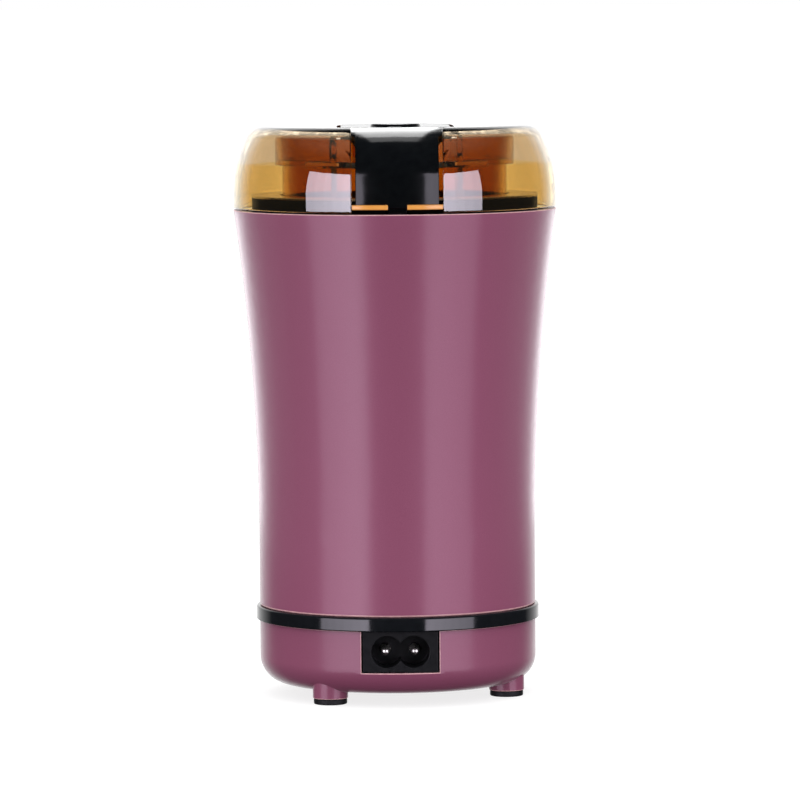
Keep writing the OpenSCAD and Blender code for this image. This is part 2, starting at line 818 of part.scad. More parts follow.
module inlet_housing() {
    lip = inlet_w / 2 + inlet_lip;
    half_h = inlet_h / 2;
    color(black)
        difference() {
            union() {
                block([-inlet_w / 2, -inlet_face, inlet_z - half_h],
                    [inlet_w / 2, -inlet_back, inlet_z + half_h]);
                block([-lip, -inlet_lip_front, inlet_z - half_h],
                    [lip, -inlet_lip_front + inlet_lip, inlet_z + half_h]);
            }
            translate([0, -inlet_face - past, inlet_z])
                rotate([-90, 0, 0])
                    linear_extrude(socket_depth + past)
                        for (side = [-1, 1])
                            translate([side * lobe_pitch / 2, 0])
                                circle(d = lobe_d);
            for (side = [-1, 1])
                inlet_pin_place(side)
                    cylinder(d = pin_root_d + 2 * press_gap, h = inlet_depth + past);
        }
}

// A round-ended contact pin on a root collar, with a flat solder tag behind the housing
module inlet_pin(side) {
    tip = pin_recess + pin_d / 2;
    root = socket_depth - pin_root_h;
    color(steel) {
        inlet_pin_place(side) {
            translate([0, 0, tip])
                sphere(d = pin_d);
            translate([0, 0, tip])
                cylinder(d = pin_d, h = root - tip + pin_root_h);
            translate([0, 0, root])
                cylinder(d = pin_root_d, h = inlet_depth - root + tag_t);
        }
        translate([side * pin_pitch / 2, -inlet_back, inlet_z])
            block([-tag_t / 2, fit_gap, -tag_h / 2], [tag_t / 2, tag_l, tag_h / 2]);
    }
}

module inlet_pin_left() {
    inlet_pin(-1);
}

module inlet_pin_right() {
    inlet_pin(1);
}

// Collar, bowl and seal

module collar_body() {
    sleeve_in = sleeve_r - sleeve_t;
    rotate_extrude() {
        translate([sleeve_in, deck_under])
            square([deck_r - sleeve_in, deck_t]);
        translate([sleeve_in, deck_under])
            square([collar_ring_w, collar_top - deck_under]);
        translate([sleeve_in, collar_under])
            square([sleeve_t, deck_z - collar_under]);
        translate([0, collar_under])
            square([sleeve_r, collar_floor_t]);
    }
}

// Two rails that guide the push rod up the sleeve
module rod_rails() {
    rail_in = rod_w / 2 + slide_gap;
    rail_t = 1.6;
    for (side = [0, 1])
        mirror([side, 0, 0])
            block([rail_in, -rod_in - rod_t * 2 / 3, collar_under],
                [rail_in + rail_t, -sleeve_r + sleeve_t / 2, head_under - press_travel - slide_gap]);
}

// The leg that carries the switch on two pegs
module switch_leg() {
    block([-switch_w / 2, -leg_face, switch_z], [switch_w / 2, -leg_face + leg_t, collar_floor - past]);
    for (side = [-1, 1])
        translate([side * peg_pitch / 2, -leg_face + leg_t / 2, switch_z + switch_h / 3])
            rotate([90, 0, 0])
                cylinder(d = peg_d, h = switch_t * 2 / 3 + leg_t / 2);
}

// Room in the collar's ring and the bowl's rim for the tongue, which swings inward when pressed
module tongue_room() {
    block([-slot_half, -lid_r, deck_z - past], [slot_half, tongue_sway + slide_gap - tongue_in, bowl_rim + past]);
}

module bowl_collar() {
    screw_room = screw_d + 2 * fit_gap;
    color(black)
        difference() {
            union() {
                collar_body();
                rod_rails();
                switch_leg();
                around(lug_r, lug_angles)
                    translate([0, 0, lug_z])
                        cylinder(d = lug_d, h = deck_z - lug_z);
            }
            block([-slot_half, -deck_r - past, deck_under - past], [slot_half, -sleeve_r, deck_z]);
            tongue_room();
            translate([0, 0, collar_under - past])
                cylinder(r = boss_r + slide_gap, h = collar_floor_t + 2 * past);
            around(motor_screw_r, motor_screw_angles) {
                translate([0, 0, collar_under - past])
                    cylinder(d = screw_room, h = collar_floor_t + 2 * past);
                translate([0, 0, collar_floor - screw_head_h - fit_gap / 2])
                    cylinder(d = screw_head_d + 2 * fit_gap, h = screw_head_h + past);
            }
            around(lug_r, lug_angles)
                translate([0, 0, lug_z - past])
                    cylinder(d = screw_d + 2 * press_gap, h = lug_drop + past);
        }
}

module collar_screws() {
    color(zinc)
        around(lug_r, lug_angles)
            translate([0, 0, lug_z - lug_t - screw_head_h])
                mirror([0, 0, 1])
                    screw(lug_t + lug_drop * 2 / 3);
}

// Everything inside the bowl's inner line, grown by grow
module bowl_region(grow) {
    turn = [bowl_r - bowl_corner, bowl_floor + bowl_corner];
    polygon([[0, bowl_floor - grow], [turn.x, bowl_floor - grow], [bowl_r + grow, turn.y],
        [bowl_r + grow, bowl_rim], [0, bowl_rim]]);
    bulge(turn, bowl_corner + grow, -90, 0);
}

module bowl() {
    color(steel)
        difference() {
            rotate_extrude()
                difference() {
                    union() {
                        bowl_region(bowl_t);
                        translate([0, collar_top])
                            square([collar_ring_r + fit_gap, bowl_t]);
                    }
                    bowl_region(0);
                    translate([0, bowl_rim - past / 2])
                        square([bowl_r, past]);
                    translate([0, bowl_floor - bowl_t - past])
                        square([seal_neck_d / 2 + press_gap, bowl_t + 2 * past]);
                }
            tongue_room();
        }
}

module shaft_seal() {
    seal_lip = 2;
    seal_overlap = 2;
    color(rubber)
        difference() {
            union() {
                translate([0, 0, collar_floor])
                    cylinder(r = boss_r + slide_gap + seal_overlap, h = seal_t);
                translate([0, 0, collar_floor])
                    cylinder(d = seal_neck_d, h = seal_t + bowl_t + seal_lip);
            }
            translate([0, 0, collar_floor - past])
                cylinder(r = shaft_r + slide_gap, h = seal_t + bowl_t + seal_lip + 2 * past);
        }
}

// Lid and lever

// Everything inside the lid's dome, drawn in by inset and carried down by over
module dome(inset, over = 0) {
    side_centre = [lid_r - side_bow, lid_z + rim_h];
    crown_centre = [crown_r, top_z - shoulder_r];
    lean = crown_centre - side_centre;
    turn = atan2(lean.y, lean.x);
    rotate_extrude()
        polygon(concat(
            [[0, lid_z - over], [lid_r - inset, lid_z - over], [lid_r - inset, lid_z + rim_h]],
            arc_points(side_centre, side_bow - inset, 0, turn),
            arc_points(crown_centre, shoulder_r - inset, turn, 90),
            [[0, top_z - inset]]));
}

// The lever seen from above, grown by grow: a band that widens into a round-ended pad
module lever_outline(grow) {
    band = lever_w / 2 + grow;
    pad = top_pad_w / 2 + grow;
    flare_start = flare_end + flare_l;
    polygon([[-band, -lid_r - past], [band, -lid_r - past], [band, -flare_start], [pad, -flare_end],
        [pad, pad_end_y], [-pad, pad_end_y], [-pad, -flare_end], [-band, -flare_start]]);
    translate([0, pad_end_y])
        circle(r = pad);
}

// The lever's round form: a straight side that turns into the flat top over one large radius
module lever_dome(inset, over = 0) {
    centre = [lever_r - lever_round, top_z - lever_round];
    rotate_extrude()
        polygon(concat(
            [[0, lid_z - over], [lever_r - inset, lid_z - over]],
            arc_points(centre, lever_round - inset, 0, 90, flare_steps),
            [[0, top_z - inset]]));
}

module along_hinge(length) {
    translate([-length / 2, hinge_y, hinge_z])
        rotate([0, 90, 0])
            children();
}

// The skirt that reaches into the bowl, with its step at the pocket's floor
module lid_skirt() {
    low_in = skirt_r - skirt_t;
    up_in = skirt_up_r - skirt_t;
    step_z = pocket_z - pocket_floor_t;
    crown = top_z - lid_t;
    rotate_extrude()
        polygon([[low_in, skirt_z], [skirt_r, skirt_z], [skirt_r, step_z], [skirt_up_r, step_z],
            [skirt_up_r, crown], [up_in, crown], [up_in, pocket_z], [low_in, pocket_z]]);
}

// Pocket floor, pocket walls, the channel walls beside the band, and the ledges outside them
module pocket_walls() {
    out = pocket_half + pocket_t;
    low = pocket_z - pocket_floor_t;
    intersection() {
        dome(lid_t + fit_gap / 2);
        union() {
            intersection() {
                block([-out, -lid_r, low], [out, pocket_end + pocket_t, top_z]);
                cylinder(r = tongue_in - past, h = top_z);
            }
            for (side = [0, 1])
                mirror([side, 0, 0])
                    difference() {
                        union() {
                            block([pocket_half, -lid_r, channel_z], [out, 0, low + past]);
                            block([pocket_half, -lid_r, low], [out, 0, top_z]);
                            block([pocket_half, -lid_r, low], [ledge_reach, 0, pocket_z]);
                        }
                        translate([0, 0, skirt_z])
                            cylinder(r = skirt_r - skirt_t / 2, h = low - skirt_z);
                        translate([0, 0, low - past])
                            cylinder(r = skirt_up_r - skirt_t / 2, h = pocket_depth + pocket_floor_t);
                    }
        }
    }
}

// The room in the pocket and channel in which the lever moves
module lever_room() {
    intersection() {
        dome(lid_t, past);
        block([-pocket_half, -lid_r, pocket_z], [pocket_half, pocket_end, top_z]);
    }
}

// The front edge of the pocket's floor gives way to the lever's round front, down to the pressed place
module lever_sweep() {
    difference() {
        block([-pocket_half, -lid_r, pocket_z - pocket_floor_t - past], [pocket_half, 0, pocket_z + past]);
        translate([0, 0, -press_travel])
            lever_dome(lever_t + 2 * slide_gap, lid_h);
    }
}

// Two bars across the bottom of the lever opening, with a gap for the tongue
module rim_bars() {
    bar_in = lever_r + slide_gap;
    gap = tongue_w / 2 + fit_gap / 2;
    for (side = [0, 1])
        mirror([side, 0, 0])
            intersection() {
                translate([0, 0, lid_z + bar_rise])
                    tube(lid_r, bar_in, bar_h);
                block([gap, -lid_r, lid_z], [lever_w / 2 + lever_gap + past, 0, lid_z + rim_h]);
            }
}

module hinge_ears() {
    half = barrel_d / 2 + fit_gap;
    for (side = [0, 1])
        mirror([side, 0, 0])
            block([ear_in, hinge_y - half, pocket_z - past],
                [ear_in + ear_t, hinge_y + half, hinge_z + barrel_d / 2]);
}

// A stub that holds one end of the return spring, sunk a little into what carries it
module spring_stub(z) {
    stub_d = lever_spring_d - lever_wire_d - 2 * slide_gap;
    translate([0, spring_y, z])
        cylinder(d = stub_d, h = stub_h + past);
}

// The opening in which the lever lies: its outline from above, and the channel for its band
module lever_opening() {
    half = lever_w / 2 + lever_gap;
    translate([0, 0, pocket_z])
        linear_extrude(lid_h)
            lever_outline(lever_gap);
    block([-half, -lid_r - past, lid_z - past], [half, -tongue_in, pocket_z + past]);
}

module lid_shell() {
    color(amber) {
        difference() {
            dome(0);
            dome(lid_t, past);
            lever_opening();
        }
        rim_bars();
    }
}

// The cup that stands inside the dome, joined to the underside of its crown
module lid_cup() {
    color(deep_amber)
        difference() {
            union() {
                difference() {
                    union() {
                        lid_skirt();
                        pocket_walls();
                    }
                    lever_room();
                    lever_sweep();
                    lever_opening();
                }
                hinge_ears();
                spring_stub(pocket_z - past);
            }
            along_hinge(top_pad_w)
                cylinder(d = hinge_pin_d + 2 * press_gap, h = top_pad_w);
        }
}

module press_lever() {
    barrel = 2 * (ear_in - slide_gap);
    web = barrel_d / 2;
    pad_under = top_z - lever_t;
    color(black)
        difference() {
            union() {
                intersection() {
                    difference() {
                        lever_dome(0);
                        lever_dome(lever_t, past);
                    }
                    translate([0, 0, band_z])
                        linear_extrude(lid_h)
                            lever_outline(0);
                }
                translate([0, spring_y, pad_under + lever_t / 2])
                    cylinder(d1 = thumb_d + 2 * thumb_slope, d2 = thumb_d, h = lever_t / 2 + thumb_h);
                along_hinge(barrel)
                    cylinder(d = barrel_d, h = barrel);
                block([-barrel / 2, hinge_y - web, hinge_z],
                    [barrel / 2, hinge_y + web, pad_under + lever_t / 2]);
                block([-tongue_w / 2, -tongue_out, tongue_z], [tongue_w / 2, -tongue_in, lid_z + rim_h]);
                block([-tongue_w / 2, -lever_r + lever_t / 2, band_z],
                    [tongue_w / 2, -tongue_in, lid_z + rim_h]);
                spring_stub(pad_under - stub_h);
            }
            along_hinge(top_pad_w)
                cylinder(d = hinge_pin_d + 2 * run_gap, h = top_pad_w);
        }
}

module lever_pin() {
    length = 2 * (ear_in + ear_t);
    color(steel)
        along_hinge(length)
            cylinder(d = hinge_pin_d, h = length);
}

module lever_spring() {
    color(steel)
        translate([0, spring_y, pocket_z + fit_gap / 2])
            spring(lever_spring_d, lever_wire_d, lever_turns, pocket_depth - lever_t - fit_gap);
}

// Switch gear

module push_rod() {
    color(cream) {
        block([-head_w / 2, -head_out, head_under], [head_w / 2, -rod_in, head_top]);
        block([-rod_w / 2, -rod_out, toe_under], [rod_w / 2, -rod_in, head_top]);
        block([-rod_w / 2, -rod_out, toe_under], [rod_w / 2, -plunger_y + plunger_d, toe_top]);
    }
}

module micro_switch() {
    half = switch_t / 2;
    color(black)
        difference() {
            block([-switch_w / 2, -plunger_y - half, switch_z],
                [switch_w / 2, -plunger_y + half, switch_top]);
            for (side = [-1, 1])
                translate([side * peg_pitch / 2, -plunger_y + half + past, switch_z + switch_h / 3])
                    rotate([90, 0, 0])
                        cylinder(d = peg_d + 2 * press_gap, h = switch_t + 2 * past);
            translate([0, -plunger_y, switch_top - press_travel - past])
                cylinder(d = plunger_d + 2 * slide_gap, h = press_travel + 2 * past);
        }
}

module switch_plunger() {
    color(cream)
        translate([0, -plunger_y, switch_top - slide_gap])
            cylinder(d = plunger_d, h = toe_under - switch_top + slide_gap);
}

module switch_terminals() {
    color(brass)
        for (side = [-1, 1])
            translate([side * terminal_pitch / 2, -plunger_y, switch_z])
                block([-terminal_w / 2, -terminal_t / 2, -terminal_l], [terminal_w / 2, terminal_t / 2, 0]);
}

// Motor

// The four places of the tie screws
module at_ties(z) {
    for (x = [-tie_x, tie_x], y = [-tie_y, tie_y])
        translate([x, y, z])
            children();
}

// A round frame with two air windows
module frame_plate(z) {
    window = frame_r - post_d;
    translate([0, 0, z])
        difference() {
            cylinder(r = frame_r, h = frame_t);
            intersection() {
                translate([0, 0, -past])
                    tube(window, boss_r + post_d / 2, frame_t + 2 * past);
                for (a = [0, 180])
                    rotate(a)
                        translate([-frame_r, frame_r / 2, -past])
                            cube([2 * frame_r, frame_r, frame_t + 2 * past]);
            }
        }
}

module motor_frame_top() {
    plate_z = frame_top_z - frame_t;
    color(zinc)
        difference() {
            union() {
                translate([0, 0, plate_z])
                    cylinder(r = frame_r, h = frame_t);
                translate([0, 0, plate_z])
                    cylinder(r = boss_r, h = bearing_l);
                at_ties(stack_top)
                    cylinder(d = post_d, h = plate_z + frame_t / 2 - stack_top);
            }
            translate([0, 0, plate_z - past])
                cylinder(d = bearing_d + 2 * press_gap, h = bearing_l + 2 * past);
            at_ties(stack_top - past)
                cylinder(d = screw_d + 2 * press_gap, h = head_room + past);
            around(motor_screw_r, motor_screw_angles)
                translate([0, 0, plate_z - past])
                    cylinder(d = screw_d + 2 * press_gap, h = frame_t + 2 * past);
        }
}

// A saddle on the lower frame that carries a brush holder
module brush_saddle() {
    seat = brush_z - holder_half_h;
    half = holder_half_w + fit_gap / 2;
    difference() {
        block([holder_in + holder_t, -half - saddle_t, low_frame_top - past],
            [holder_room_end, half + saddle_t, brush_z]);
        block([holder_in - past, -half, seat], [holder_out + past, half, brush_z + past]);
    }
}

// The lower frame, cut flat in front to pass the inlet's tags and the leads
module motor_frame_bottom() {
    color(black)
        difference() {
            union() {
                frame_plate(low_frame_z);
                translate([0, 0, low_frame_top - bearing_l])
                    cylinder(r = boss_r, h = bearing_l);
                at_ties(low_frame_top - past)
                    cylinder(d = post_d, h = brush_room + past);
                brush_saddle();
                rotate(180)
                    brush_saddle();
            }
            translate([0, 0, low_frame_top - bearing_l - past])
                cylinder(d = bearing_d + 2 * press_gap, h = bearing_l + 2 * past);
            at_ties(low_frame_z - past)
                cylinder(d = screw_d + 2 * fit_gap, h = brush_room + frame_t + 2 * past);
            block([-frame_r, -frame_r - past, low_frame_z - past],
                [frame_r, tag_l + slide_gap - inlet_back, low_frame_top]);
        }
}

module motor_dampers() {
    color(rubber)
        around(motor_screw_r, motor_screw_angles)
            translate([0, 0, frame_top_z])
                tube(damper_d / 2, screw_d / 2 + fit_gap, damper_t);
}

module motor_screws() {
    color(zinc)
        around(motor_screw_r, motor_screw_angles)
            translate([0, 0, collar_floor - fit_gap / 2])
                screw(collar_floor_t - screw_head_h + damper_t + frame_t);
}

module tie_screws() {
    color(zinc)
        at_ties(low_frame_z - screw_head_h)
            mirror([0, 0, 1])
                screw(frame_t + brush_room + stack_h + head_room / 2);
}

module stator_core() {
    color(iron)
        translate([0, 0, stack_z])
            linear_extrude(stack_h)
                difference() {
                    intersection() {
                        square([stack_w, stack_d], center = true);
                        circle(r = norm([stack_w, stack_d]) / 2 - stack_corner);
                    }
                    circle(r = bore_r);
                    for (side = [0, 1])
                        mirror([0, side])
                            translate([-window_out, horn_y])
                                square([2 * window_out, window_y - horn_y]);
                    for (turn_x = [0, 1], turn_y = [0, 1])
                        mirror([turn_x, 0])
                            mirror([0, turn_y])
                                translate([window_in, neck_w / 2])
                                    square([window_out - window_in, window_y - neck_w / 2]);
                    for (x = [-tie_x, tie_x], y = [-tie_y, tie_y])
                        translate([x, y])
                            circle(d = screw_d + 2 * fit_gap);
                }
}

// A racetrack of wire around one pole neck
module field_coil(side) {
    in_half = neck_w / 2 + fit_gap;
    out_half = window_y - fit_gap;
    rise = stack_h / 2 + coil_end;
    color(copper)
        translate([side > 0 ? window_in + fit_gap : -window_out + fit_gap, 0, stack_z + stack_h / 2])
            difference() {
                block([0, -out_half, -rise], [window_out - window_in - 2 * fit_gap, out_half, rise]);
                block([-past, -in_half, -stack_h / 2 - fit_gap],
                    [window_out, in_half, stack_h / 2 + fit_gap]);
            }
}

module field_coil_left() {
    field_coil(-1);
}

module field_coil_right() {
    field_coil(1);
}

module bearing(z) {
    color(brass)
        translate([0, 0, z])
            tube(bearing_d / 2, shaft_r + run_gap, bearing_l);
}

module bearing_top() {
    bearing(frame_top_z - frame_t);
}

module bearing_bottom() {
    bearing(low_frame_top - bearing_l);
}

// Brushes: everything on the right, mirrored for the left
module brush_holder(side) {
    in_half_w = holder_half_w - holder_t;
    in_half_h = holder_half_h - holder_t;
    color(brass)
        mirror([side, 0, 0])
            difference() {
                block([holder_in, -holder_half_w, brush_z - holder_half_h],
                    [holder_out, holder_half_w, brush_z + holder_half_h]);
                block([holder_in - past, -in_half_w, brush_z - in_half_h],
                    [holder_room_end, in_half_w, brush_z + in_half_h]);
            }
}

module brush_holder_left() {
    brush_holder(1);
}

module brush_holder_right() {
    brush_holder(0);
}

module carbon_brush(side) {
    color(carbon)
        mirror([side, 0, 0])
            difference() {
                block([0, -brush_w / 2, brush_z - brush_h / 2],
                    [brush_in + brush_l, brush_w / 2, brush_z + brush_h / 2]);
                translate([0, 0, brush_z - brush_h])
                    cylinder(r = brush_in, h = 2 * brush_h);
            }
}

module carbon_brush_left() {
    carbon_brush(1);
}

module carbon_brush_right() {
    carbon_brush(0);
}

module brush_spring(side) {
    color(steel)
        mirror([side, 0, 0])
            translate([brush_in + brush_l + fit_gap / 2, 0, brush_z])
                rotate([0, 90, 0])
                    spring(brush_w - 2 * slide_gap, brush_wire_d, brush_turns, brush_spring_room - fit_gap);
}

module brush_spring_left() {
    brush_spring(1);
}

module brush_spring_right() {
    brush_spring(0);
}

// Rotor

module motor_shaft() {
    color(steel) {
        translate([0, 0, shaft_z])
            cylinder(r = shaft_r, h = blade_z - shaft_z);
        translate([0, 0, blade_z - past])
            cylinder(d = thread_d, h = thread_l + past);
    }
}

// One bar for each armature slot, drawn in by trim and ending at radius r
module slot_bars(trim, r) {
    slot_in = armature_r - slot_depth + trim;
    around(slot_in, [for (k = [0:slot_count - 1]) 360 * k / slot_count])
        translate([0, -slot_w / 2 + trim])
            square([r - slot_in, slot_w - 2 * trim]);
}

module armature_core() {
    color(iron)
        translate([0, 0, stack_z])
            linear_extrude(stack_h)
                difference() {
                    circle(r = armature_r);
                    circle(r = shaft_r + press_gap);
                    slot_bars(0, armature_r + past);
                }
}

module armature_winding() {
    end_r = armature_r - winding_inset;
    color(copper) {
        for (z = [stack_z - winding_end, stack_top])
            translate([0, 0, z])
                tube(end_r, shaft_r + winding_inset, winding_end);
        translate([0, 0, stack_z - past])
            linear_extrude(stack_h + 2 * past)
                slot_bars(fit_gap / 2, end_r - winding_inset);
    }
}

module commutator() {
    riser_h = 1.2;
    riser_step = 1;
    color(copper)
        translate([0, 0, commutator_z])
            difference() {
                union() {
                    cylinder(r = commutator_r, h = commutator_l);
                    translate([0, 0, commutator_l])
                        cylinder(r = commutator_r + riser_step, h = riser_h);
                }
                translate([0, 0, -past])
                    cylinder(r = shaft_r + press_gap, h = commutator_l + riser_h + 2 * past);
            }
}

module fan() {
    disc_t = 1.2;
    blade_thick = 1.2;
    hub_wall = 3;
    hub_r = shaft_r + hub_wall;
    blade_drop = 1;
    color(cream)
        translate([0, 0, fan_z])
            difference() {
                union() {
                    cylinder(r = hub_r, h = fan_h);
                    translate([0, 0, fan_h - disc_t])
                        cylinder(d = fan_d, h = disc_t);
                    around(0, [for (k = [0:fan_blades - 1]) 360 * k / fan_blades])
                        translate([hub_r - past, -blade_thick / 2, blade_drop])
                            cube([fan_d / 2 - hub_r, blade_thick, fan_h - blade_drop - disc_t / 2]);
                }
                translate([0, 0, -past])
                    cylinder(r = shaft_r + press_gap, h = fan_h + 2 * past);
            }
}

module blade_washer() {
    color(steel)
        translate([0, 0, blade_z])
            tube(washer_d / 2, thread_d / 2 + press_gap, washer_t);
}

// Two tapered wings, pitched opposite ways, on a flat hub
module blade() {
    root = blade_w / 2;
    tip = blade_span / 2;
    tip_w = root * 2 / 3;
    color(steel)
        translate([0, 0, blade_z + washer_t])
            difference() {
                union() {
                    cylinder(d = washer_d, h = blade_t);
                    for (a = [0, 180])
                        rotate(a)
                            translate([0, 0, blade_t / 2])
                                rotate([blade_pitch, 0, 0])
                                    translate([0, 0, -blade_t / 2])
                                        linear_extrude(blade_t)
                                            polygon([[thread_d, -root], [tip - root, -root], [tip, -tip_w],
                                                [tip, tip_w / 2], [tip - root, root], [thread_d, root]]);
                }
                translate([0, 0, -blade_t])
                    cylinder(d = thread_d + 2 * press_gap, h = 3 * blade_t);
                translate([0, 0, -2 * blade_t])
                    cylinder(d = washer_d, h = 2 * blade_t);
                translate([0, 0, blade_t])
                    cylinder(d = nut_d + past, h = 2 * blade_t);
            }
}

// A hexagon nut with a rounded cap over the shaft's end
module blade_nut() {
    hex_h = nut_h * 3 / 5;
    cap_inset = 0.3;
    cap_r = nut_d / 2 * cos(30) - cap_inset;
    cap_bow = cap_r * 3 / 2;
    seat = blade_z + washer_t + blade_t;
    hole_h = thread_l - washer_t - blade_t + fit_gap;
    color(steel)
        translate([0, 0, seat])
            difference() {
                union() {
                    cylinder(d = nut_d, h = hex_h, $fn = 6);
                    intersection() {
                        cylinder(r = cap_r, h = nut_h);
                        translate([0, 0, nut_h - cap_bow])
                            sphere(r = cap_bow);
                    }
                }
                translate([0, 0, -past])
                    cylinder(d = thread_d + 2 * press_gap, h = hole_h + past);
            }
}

// Leads

module lead(route) {
    swept_tube(smooth(route, lead_step), lead_d / 2, lead_sides);
}

module lead_live() {
    color("saddlebrown")
        lead(live_route);
}

module lead_neutral() {
    color("royalblue")
        lead(neutral_route);
}

module lead_motor() {
    color("black")
        lead(motor_route);
}

body_shell();
trim_ring();
base_pan();
foot_pad_left();
foot_pad_right();
foot_pad_back();
base_screws();
inlet_housing();
inlet_pin_left();
inlet_pin_right();
bowl_collar();
collar_screws();
bowl();
shaft_seal();
lid_shell();
lid_cup();
press_lever();
lever_pin();
lever_spring();
push_rod();
micro_switch();
switch_plunger();
switch_terminals();
motor_frame_top();
motor_frame_bottom();
motor_dampers();
motor_screws();
tie_screws();
stator_core();
field_coil_left();
field_coil_right();
bearing_top();
bearing_bottom();
brush_holder_left();
brush_holder_right();
carbon_brush_left();
carbon_brush_right();
brush_spring_left();
brush_spring_right();
motor_shaft();
armature_core();
armature_winding();
commutator();
fan();
blade();
blade_washer();
blade_nut();
lead_live();
lead_neutral();
lead_motor();
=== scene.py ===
"""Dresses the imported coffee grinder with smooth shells, finishes, soft studio light and a camera."""
import json
import math

import bmesh
import bpy
from mathutils import Matrix, Vector


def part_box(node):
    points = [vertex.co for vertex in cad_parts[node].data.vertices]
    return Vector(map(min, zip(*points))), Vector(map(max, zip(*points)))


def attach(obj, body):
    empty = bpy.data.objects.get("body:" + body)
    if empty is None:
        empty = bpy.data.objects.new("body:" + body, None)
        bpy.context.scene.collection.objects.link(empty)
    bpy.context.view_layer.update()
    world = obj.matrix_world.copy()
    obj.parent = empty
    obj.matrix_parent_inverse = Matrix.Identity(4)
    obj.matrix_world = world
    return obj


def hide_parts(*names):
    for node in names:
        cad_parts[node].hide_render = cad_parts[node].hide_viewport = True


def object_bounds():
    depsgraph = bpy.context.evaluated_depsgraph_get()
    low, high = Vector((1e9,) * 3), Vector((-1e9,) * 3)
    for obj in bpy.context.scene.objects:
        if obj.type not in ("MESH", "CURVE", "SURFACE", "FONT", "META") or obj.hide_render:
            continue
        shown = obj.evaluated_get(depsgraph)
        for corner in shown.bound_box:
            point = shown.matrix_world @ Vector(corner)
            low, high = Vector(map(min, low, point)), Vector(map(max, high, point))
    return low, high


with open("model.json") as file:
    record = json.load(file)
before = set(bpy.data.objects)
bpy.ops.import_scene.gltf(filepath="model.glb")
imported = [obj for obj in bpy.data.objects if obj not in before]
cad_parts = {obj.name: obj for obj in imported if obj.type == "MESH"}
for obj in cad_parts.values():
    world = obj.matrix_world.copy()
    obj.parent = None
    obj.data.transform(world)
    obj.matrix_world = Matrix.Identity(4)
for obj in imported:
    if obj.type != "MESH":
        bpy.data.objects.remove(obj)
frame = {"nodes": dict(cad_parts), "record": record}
cad_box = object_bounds()

MM = 0.001
NODES = frame["nodes"]
SLOT_OF = {part["node"]: part["material_slot"] for part in frame["record"]["subparts"]}

# Sockets of a Mix node by number, because their names repeat for each kind of data
MIX_NUMBERS, MIX_NUMBER_OUT = (2, 3), 0
MIX_COLOURS, MIX_COLOUR_OUT = (6, 7), 2
# A wave texture turns by this many radians per unit of length and of its scale
WAVE_TURN = 20


# Finishes

class Finish:
    """A principled material whose detail is placed by object coordinates, in metres."""

    def __init__(self, name, **sockets):
        self.material = bpy.data.materials.new(name)
        self.material.use_nodes = True
        self.tree = self.material.node_tree
        self.shader = self.tree.nodes["Principled BSDF"]
        self.place = self.node("ShaderNodeTexCoord").outputs["Object"]
        self.plug(self.shader, sockets)

    def plug(self, node, sockets):
        """Sets or links a node's inputs by name, with underscores for spaces."""
        for key, value in sockets.items():
            socket = node.inputs[key.replace("_", " ")]
            if isinstance(value, bpy.types.NodeSocket):
                self.tree.links.new(value, socket)
            else:
                socket.default_value = value

    def node(self, kind, settings=None, **sockets):
        node = self.tree.nodes.new(kind)
        for key, value in (settings or {}).items():
            setattr(node, key, value)
        self.plug(node, sockets)
        return node

    def grain(self, size, detail=2.0, stretch=(1, 1, 1)):
        """Noise whose lumps are about size millimetres across."""
        place = self.node("ShaderNodeMapping", Vector=self.place, Scale=stretch).outputs["Vector"]
        noise = self.node("ShaderNodeTexNoise", Vector=place, Scale=1 / (size * MM), Detail=detail)
        return noise.outputs["Fac"]

    def lines(self, pitch, kind="BANDS", axis="Z", wander=0.4):
        """Fine lines pitch millimetres apart, across an axis or in rings round it."""
        settings = {"wave_type": kind, "bands_direction": axis, "rings_direction": axis}
        scale = 2 * math.pi / (WAVE_TURN * pitch * MM)
        wave = self.node("ShaderNodeTexWave", settings, Vector=self.place, Scale=scale,
                         Distortion=wander, Detail=2.0)
        return wave.outputs["Fac"]

    def spread(self, source, low, high, source_low=0.3, source_high=0.7):
        """Carries a noise's usual range over to low..high."""
        ranged = self.node("ShaderNodeMapRange", Value=source)
        limits = {"From Min": source_low, "From Max": source_high, "To Min": low, "To Max": high}
        for key, value in limits.items():
            ranged.inputs[key].default_value = value
        return ranged.outputs["Result"]

    def blend(self, source, first, second):
        """A colour between first and second, which are linear RGB."""
        mix = self.node("ShaderNodeMix", {"data_type": "RGBA"})
        self.tree.links.new(source, mix.inputs[0])
        for slot, colour in zip(MIX_COLOURS, (first, second)):
            if isinstance(colour, bpy.types.NodeSocket):
                self.tree.links.new(colour, mix.inputs[slot])
            else:
                mix.inputs[slot].default_value = (*colour, 1)
        return mix.outputs[MIX_COLOUR_OUT]

    def bump(self, source, height, under=None):
        """Raises the surface by height millimetres where source is 1, over an earlier bump."""
        bump = self.node("ShaderNodeBump", Height=source, Distance=height * MM)
        if under is not None:
            self.tree.links.new(under, bump.inputs["Normal"])
        return bump.outputs["Normal"]

    def wear(self, size, low=0.47, high=0.56):
        """Light patches on convex edges, broken up by noise."""
        edge = self.node("ShaderNodeNewGeometry").outputs["Pointiness"]
        edge = self.spread(edge, 0, 1, low, high)
        broken = self.spread(self.grain(size), 0.2, 1)
        both = self.node("ShaderNodeMath", {"operation": "MULTIPLY"})
        self.tree.links.new(edge, both.inputs[0])
        self.tree.links.new(broken, both.inputs[1])
        return both.outputs["Value"]

    def finish(self, **sockets):
        self.plug(self.shader, sockets)
        return self.material


